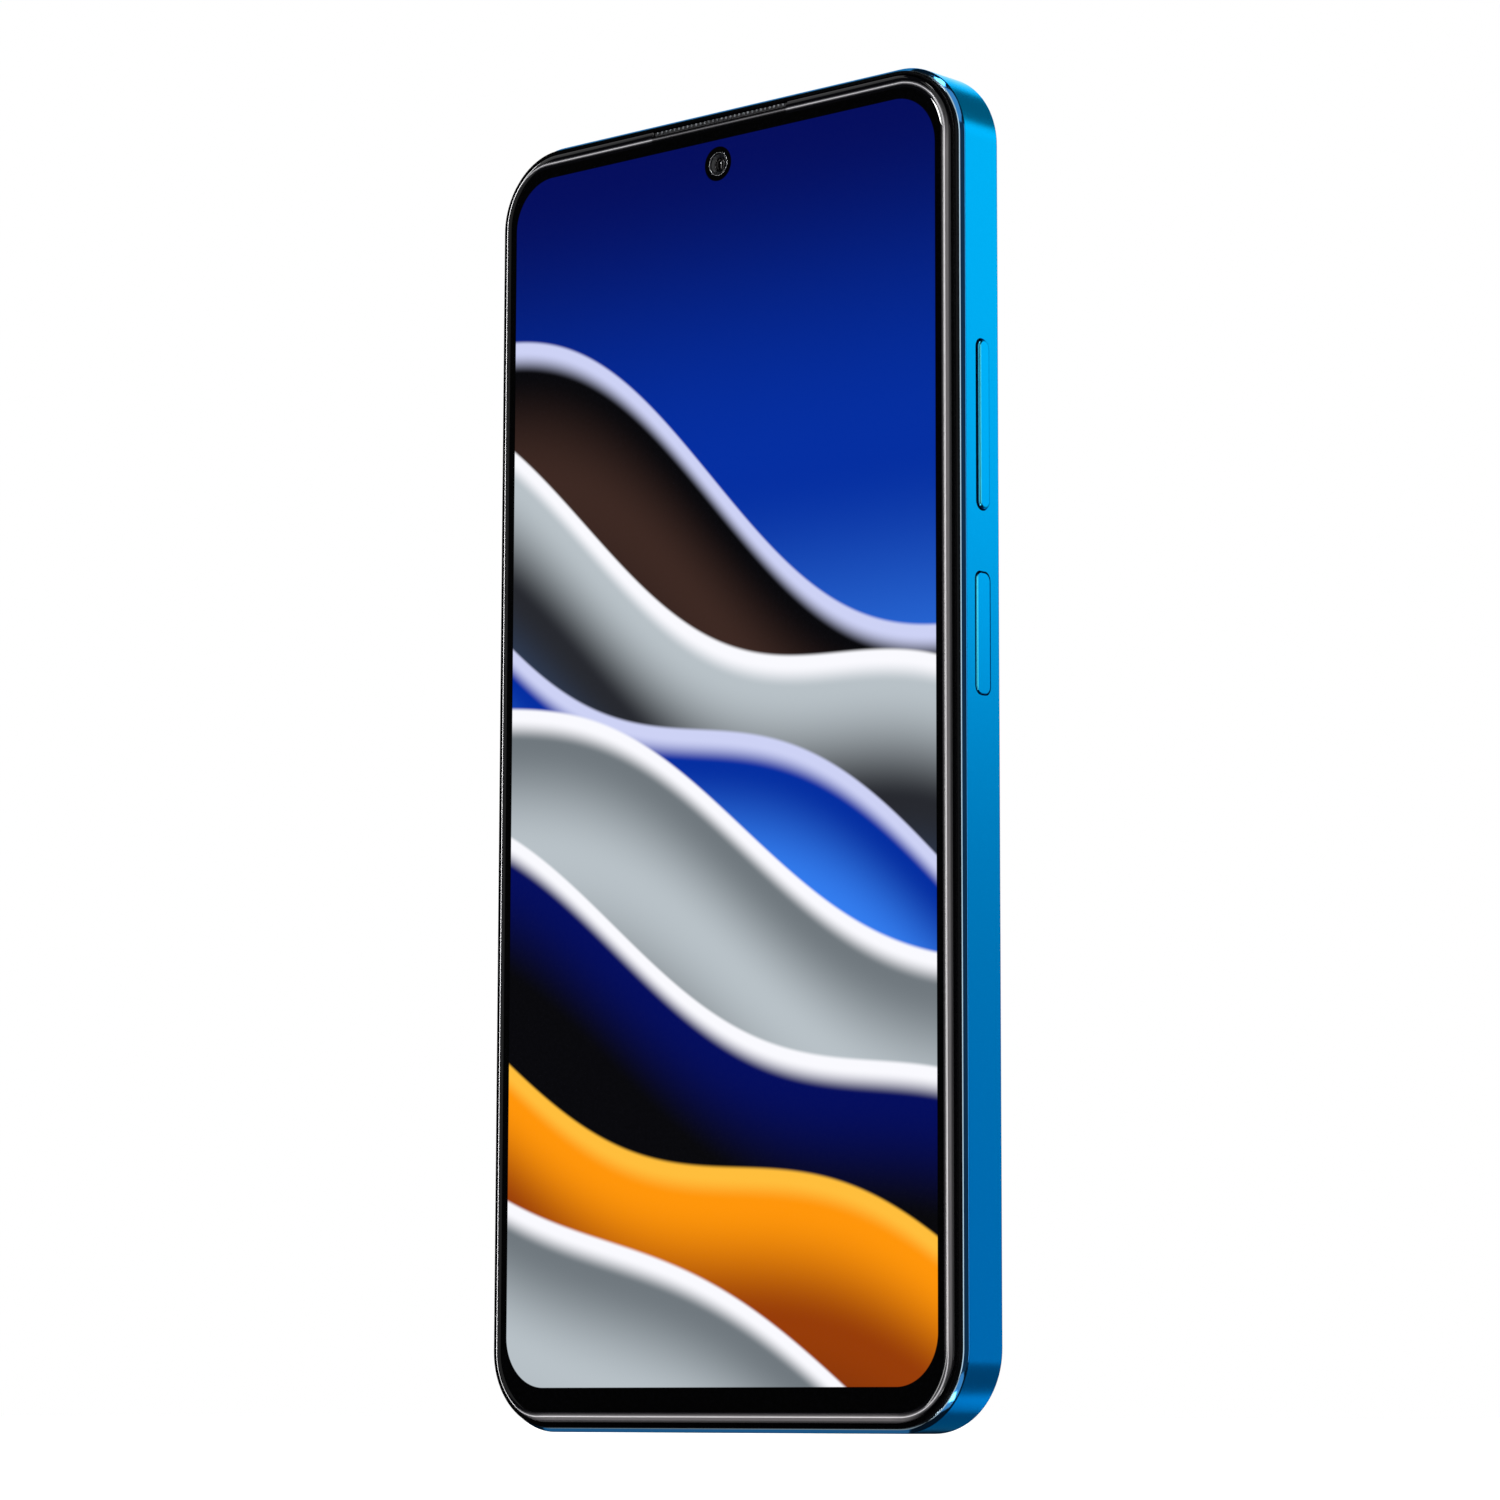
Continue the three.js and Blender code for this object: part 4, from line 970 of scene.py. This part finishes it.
def camera_island():
    """A raised plate with a rolled edge. Each window has a chamfered seat and a mask with a bright ring."""
    low, high = ISLAND_LOW, ISLAND_HIGH
    centre = back_face((low.x + high.x) / 2, (low.z + high.z) / 2)
    edge = [(inset, high.y + level) for inset, level in quarter_edge(0.7, 0.7, 8)]
    sides = [(0, low.y), *edge]
    plate = loft("island", centre, high.x - low.x, high.z - low.z, 7, sides, OUTLINE, sharp_degrees=50)
    holes = []
    for node, barrel in REAR_LENSES.items():
        lens_low, lens_high = span(node)
        x, z = (lens_low.x + lens_high.x) / 2, (lens_low.z + lens_high.z) / 2
        window = (lens_high.x - lens_low.x) / 2
        seat = lens_high.y - 0.55
        bore = barrel + 0.6
        holes.append(round_opening(back_face(x, z, high.y), window + 0.1, high.y - seat, 0.22, OUTLINE))
        holes.append(turned("tool", back_face(x, z), [(bore, low.y - 1), (bore, high.y)], OUTLINE))
        if node != "flash_lens":
            name = node.replace("_window", "")
            mask = [(window, seat), (window, seat + 0.04), (bore + 0.02, seat + 0.04), (bore + 0.02, seat)]
            extra(turned(name + "_mask", back_face(x, z), mask, OUTLINE, True), "lens_barrel")
            top = seat + 0.045
            ring = [(bore + 0.01, seat), (bore + 0.01, top), (bore - 0.25, top), (bore - 0.35, seat)]
            extra(turned(name + "_ring", back_face(x, z), ring, OUTLINE, True), "steel")
    stand_in(cut(plate, holes, 50), "island_metal", "camera_island")


def lens_windows():
    for node in REAR_LENSES:
        if node == "flash_lens":
            continue
        low, high = span(node)
        radius = (high.x - low.x) / 2
        face = back_face((low.x + high.x) / 2, (low.z + high.z) / 2)
        profile = soften([(radius, low.y), (radius, high.y), (radius - 0.3, high.y)], 0.12)
        stand_in(turned(node + "_disc", face, profile, OUTLINE), "lens_glass", node)


def stepped_barrel(name, face, radius, base, top):
    """A lens barrel whose mouth steps inwards ring by ring."""
    # radius on the main camera's barrel, and depth below its top
    steps = [
        (3.4, 0.3), (3.2, 0.05), (3.05, 0.0), (2.75, 0.0), (2.65, 0.14), (2.3, 0.14), (2.2, 0.28),
        (1.9, 0.28), (1.8, 0.5),
    ]
    scale = radius / steps[0][0]
    profile = [(radius, base), *((r * scale, top - drop) for r, drop in steps)]
    return turned(name, face, profile, 18)


def rear_cameras():
    centre = middle("main_camera_lens")
    low, high = span("main_camera_lens")
    face = back_face(centre.x, centre.z)
    barrel = stepped_barrel("main_lens_barrel", face, REAR_LENSES["main_camera_window"], low.y, high.y)
    stand_in(barrel, "lens_barrel", "main_camera_lens")
    dome("main_lens_dome", face, 1.78, high.y - 0.5, 0.42, "focus_lens")
    for node in ("wide_camera", "macro_camera"):
        radius = REAR_LENSES[node + "_window"]
        low, high = span(node)
        face = back_face((low.x + high.x) / 2, (low.z + high.z) / 2)
        box_top = COVER_LOW.y - 0.5
        sides = soften([(0, low.y), (0, box_top), (0.4, box_top)], 0.2)
        box = loft("box", face, high.x - low.x, high.z - low.z, 0.6, sides)
        barrel = stepped_barrel("barrel", face, radius, box_top - 0.1, high.y)
        stand_in(join(node + "_module", [box, barrel]), "lens_barrel", node)
        dome(node + "_dome", face, radius * 0.52, high.y - 0.5, 0.3)


def flash():
    """A diffuser with concentric ridges on a stem."""
    low, high = span("flash_lens")
    radius = (high.x - low.x) / 2
    ridges = [(radius - 0.05, high.y), (radius - 0.3, high.y)]
    for i in range(6):
        outer = radius - 0.35 - i * 0.34
        ridges += [(outer, high.y - 0.14), (outer - 0.26, high.y - 0.04)]
    stem, flange = REAR_LENSES["flash_lens"], high.y - 0.48
    profile = [(stem, low.y), (stem, flange), (radius, flange), (radius, high.y - 0.05), *ridges]
    face = back_face((low.x + high.x) / 2, (low.z + high.z) / 2)
    stand_in(turned("flash_lens_ridged", face, profile, 16), "diffuser", "flash_lens")


# ---- Pieces that keep their CAD shape -----------------------------------------------------


def carry_over():
    """Every CAD node that still shows gets its slot's finish."""
    for part in frame["record"]["subparts"]:
        node = frame["nodes"][part["node"]]
        if not node.hide_render:
            node.data.materials.clear()
            node.data.materials.append(FINISHES[part["material_slot"]])


# ---- Camera, light, floor --------------------------------------------------------------------


CAMERA_PLACE = (386.508, -439.762, 2.0)
CAMERA_TURN = (41.163, 7.918, 0.152)  # yaw, tilt and roll in degrees


def photographer():
    """The camera stands low, near the floor, to the right of the screen side, and looks a little up."""
    lens = bpy.data.cameras.new("view")
    lens.sensor_width = 36
    lens.lens = 114.98
    lens.clip_start = 0.01
    lens.clip_end = 50
    camera = bpy.data.objects.new("view", lens)
    bpy.context.scene.collection.objects.link(camera)
    camera.location = Vector(CAMERA_PLACE) * MM
    yaw, tilt, roll = (math.radians(angle) for angle in CAMERA_TURN)
    turn = Euler((0, 0, yaw)).to_matrix() @ Euler((math.pi / 2 + tilt, 0, 0)).to_matrix()
    camera.rotation_euler = (turn @ Euler((0, 0, roll)).to_matrix()).to_euler()
    bpy.context.scene.camera = camera


def soft_box(name, azimuth, elevation, width, height, radiance, distance=0.9):
    """A lamp that faces the phone's middle. Azimuth 0 is in front of the screen, 90 on the key side.

    Its width and height are angles in degrees, as seen from the phone."""
    lamp = bpy.data.lights.new(name, "AREA")
    lamp.shape = "RECTANGLE"
    lamp.size = 2 * distance * math.tan(math.radians(width / 2))
    lamp.size_y = 2 * distance * math.tan(math.radians(height / 2))
    lamp.energy = 4 * lamp.size * lamp.size_y * radiance
    box = bpy.data.objects.new(name, lamp)
    bpy.context.scene.collection.objects.link(box)
    box.visible_camera = False
    a, e = math.radians(azimuth), math.radians(elevation)
    away = Vector((math.sin(a) * math.cos(e), -math.cos(a) * math.cos(e), math.sin(e)))
    target = Vector((0, 0, HEIGHT / 2)) * MM
    box.location = target + away * distance
    box.rotation_euler = away.to_track_quat("Z", "Y").to_euler()


def studio():
    """White to the eye, and dim to everything else, so that the lamps alone shape the gloss."""
    scene = bpy.context.scene
    scene.view_settings.view_transform = "Standard"
    scene.view_settings.look = "None"
    world = bpy.data.worlds.new("studio")
    world.use_nodes = True
    scene.world = world
    tree = world.node_tree
    ground = tree.nodes["Background"]
    path = tree.nodes.new("ShaderNodeLightPath")
    seen = Field(tree, path.outputs["Is Camera Ray"])
    feed(tree, ground.inputs["Strength"], seen.between(0.0, 1.0, 0.015, 1.0))
    ground.inputs["Color"].default_value = (1, 1, 1, 1)
    # behind the key side: the long gradient on the blue band, and the bands round its two corners
    soft_box("band_whole", 140, 8, 44, 48, 0.48)
    soft_box("band_upper", 140, 20, 44, 22, 0.44)
    soft_box("corner_upper", 204, 35, 24, 20, 1.1)
    soft_box("corner_lower", 171, -37, 18, 12, 0.75)
    soft_box("behind_low", 168, -34, 80, 40, 0.16)
    soft_box("behind_high", 180, 44, 80, 34, 0.16)
    soft_box("key_side", 92, 6, 30, 50, 0.7)
    soft_box("right_front", 52, 4, 18, 60, 0.04)
    soft_box("front_broad", 26, 5, 32, 60, 0.6)
    # in front, round the edge of the glass: an upright strip
    soft_box("front_strip", -20, 5, 4, 64, 5)
    soft_box("left_front", -62, 8, 20, 44, 0.15)
    soft_box("left", -100, 8, 20, 60, 4.5)
    soft_box("top_left", -95, 52, 60, 26, 0.35)
    soft_box("bottom_left", -78, -52, 70, 20, 0.18)
    soft_box("catch_light", -27, 24, 4.5, 4.5, 32)
    soft_box("front_upper", 24, 52, 50, 34, 0.45)
    soft_box("front_lower", 24, -46, 50, 34, 0.45)
    soft_box("overhead", 14, 77, 11, 11, 5)
    soft_box("underfoot", 37, -50, 9, 9, 7)


def floor():
    size = 8.0
    mesh = bpy.data.meshes.new("floor")
    corners = [(-size, -size, 0), (size, -size, 0), (size, size, 0), (-size, size, 0)]
    mesh.from_pydata(corners, [], [(0, 1, 2, 3)])
    sheet = bpy.data.objects.new("floor", mesh)
    bpy.context.scene.collection.objects.link(sheet)
    finish = Finish("floor", Roughness=1.0, Specular_IOR_Level=0.0)
    (x, y, _), point = finish.place()
    away = (x.square() + y.square()).root()
    tone = finish.noise(point, 0.002).ramp([(0.3, srgb(205, 205, 205)), (0.7, srgb(212, 212, 212))])
    finish.set("Base Color", tone)
    finish.shader.inputs["Emission Color"].default_value = (1, 1, 1, 1)
    finish.set("Emission Strength", away.between(200.0, 900.0, 0.93, 1.0))
    mesh.materials.append(finish.material)
    sheet.visible_glossy = False


photographer()
studio()
floor()
side_frame()
front_bezel()
cover_glass()
earpiece()
front_camera()
keys()
card_tray()
charging_port()
headphone_jack()
infrared_window()
rear_cover()
camera_island()
lens_windows()
rear_cameras()
flash()
carry_over()
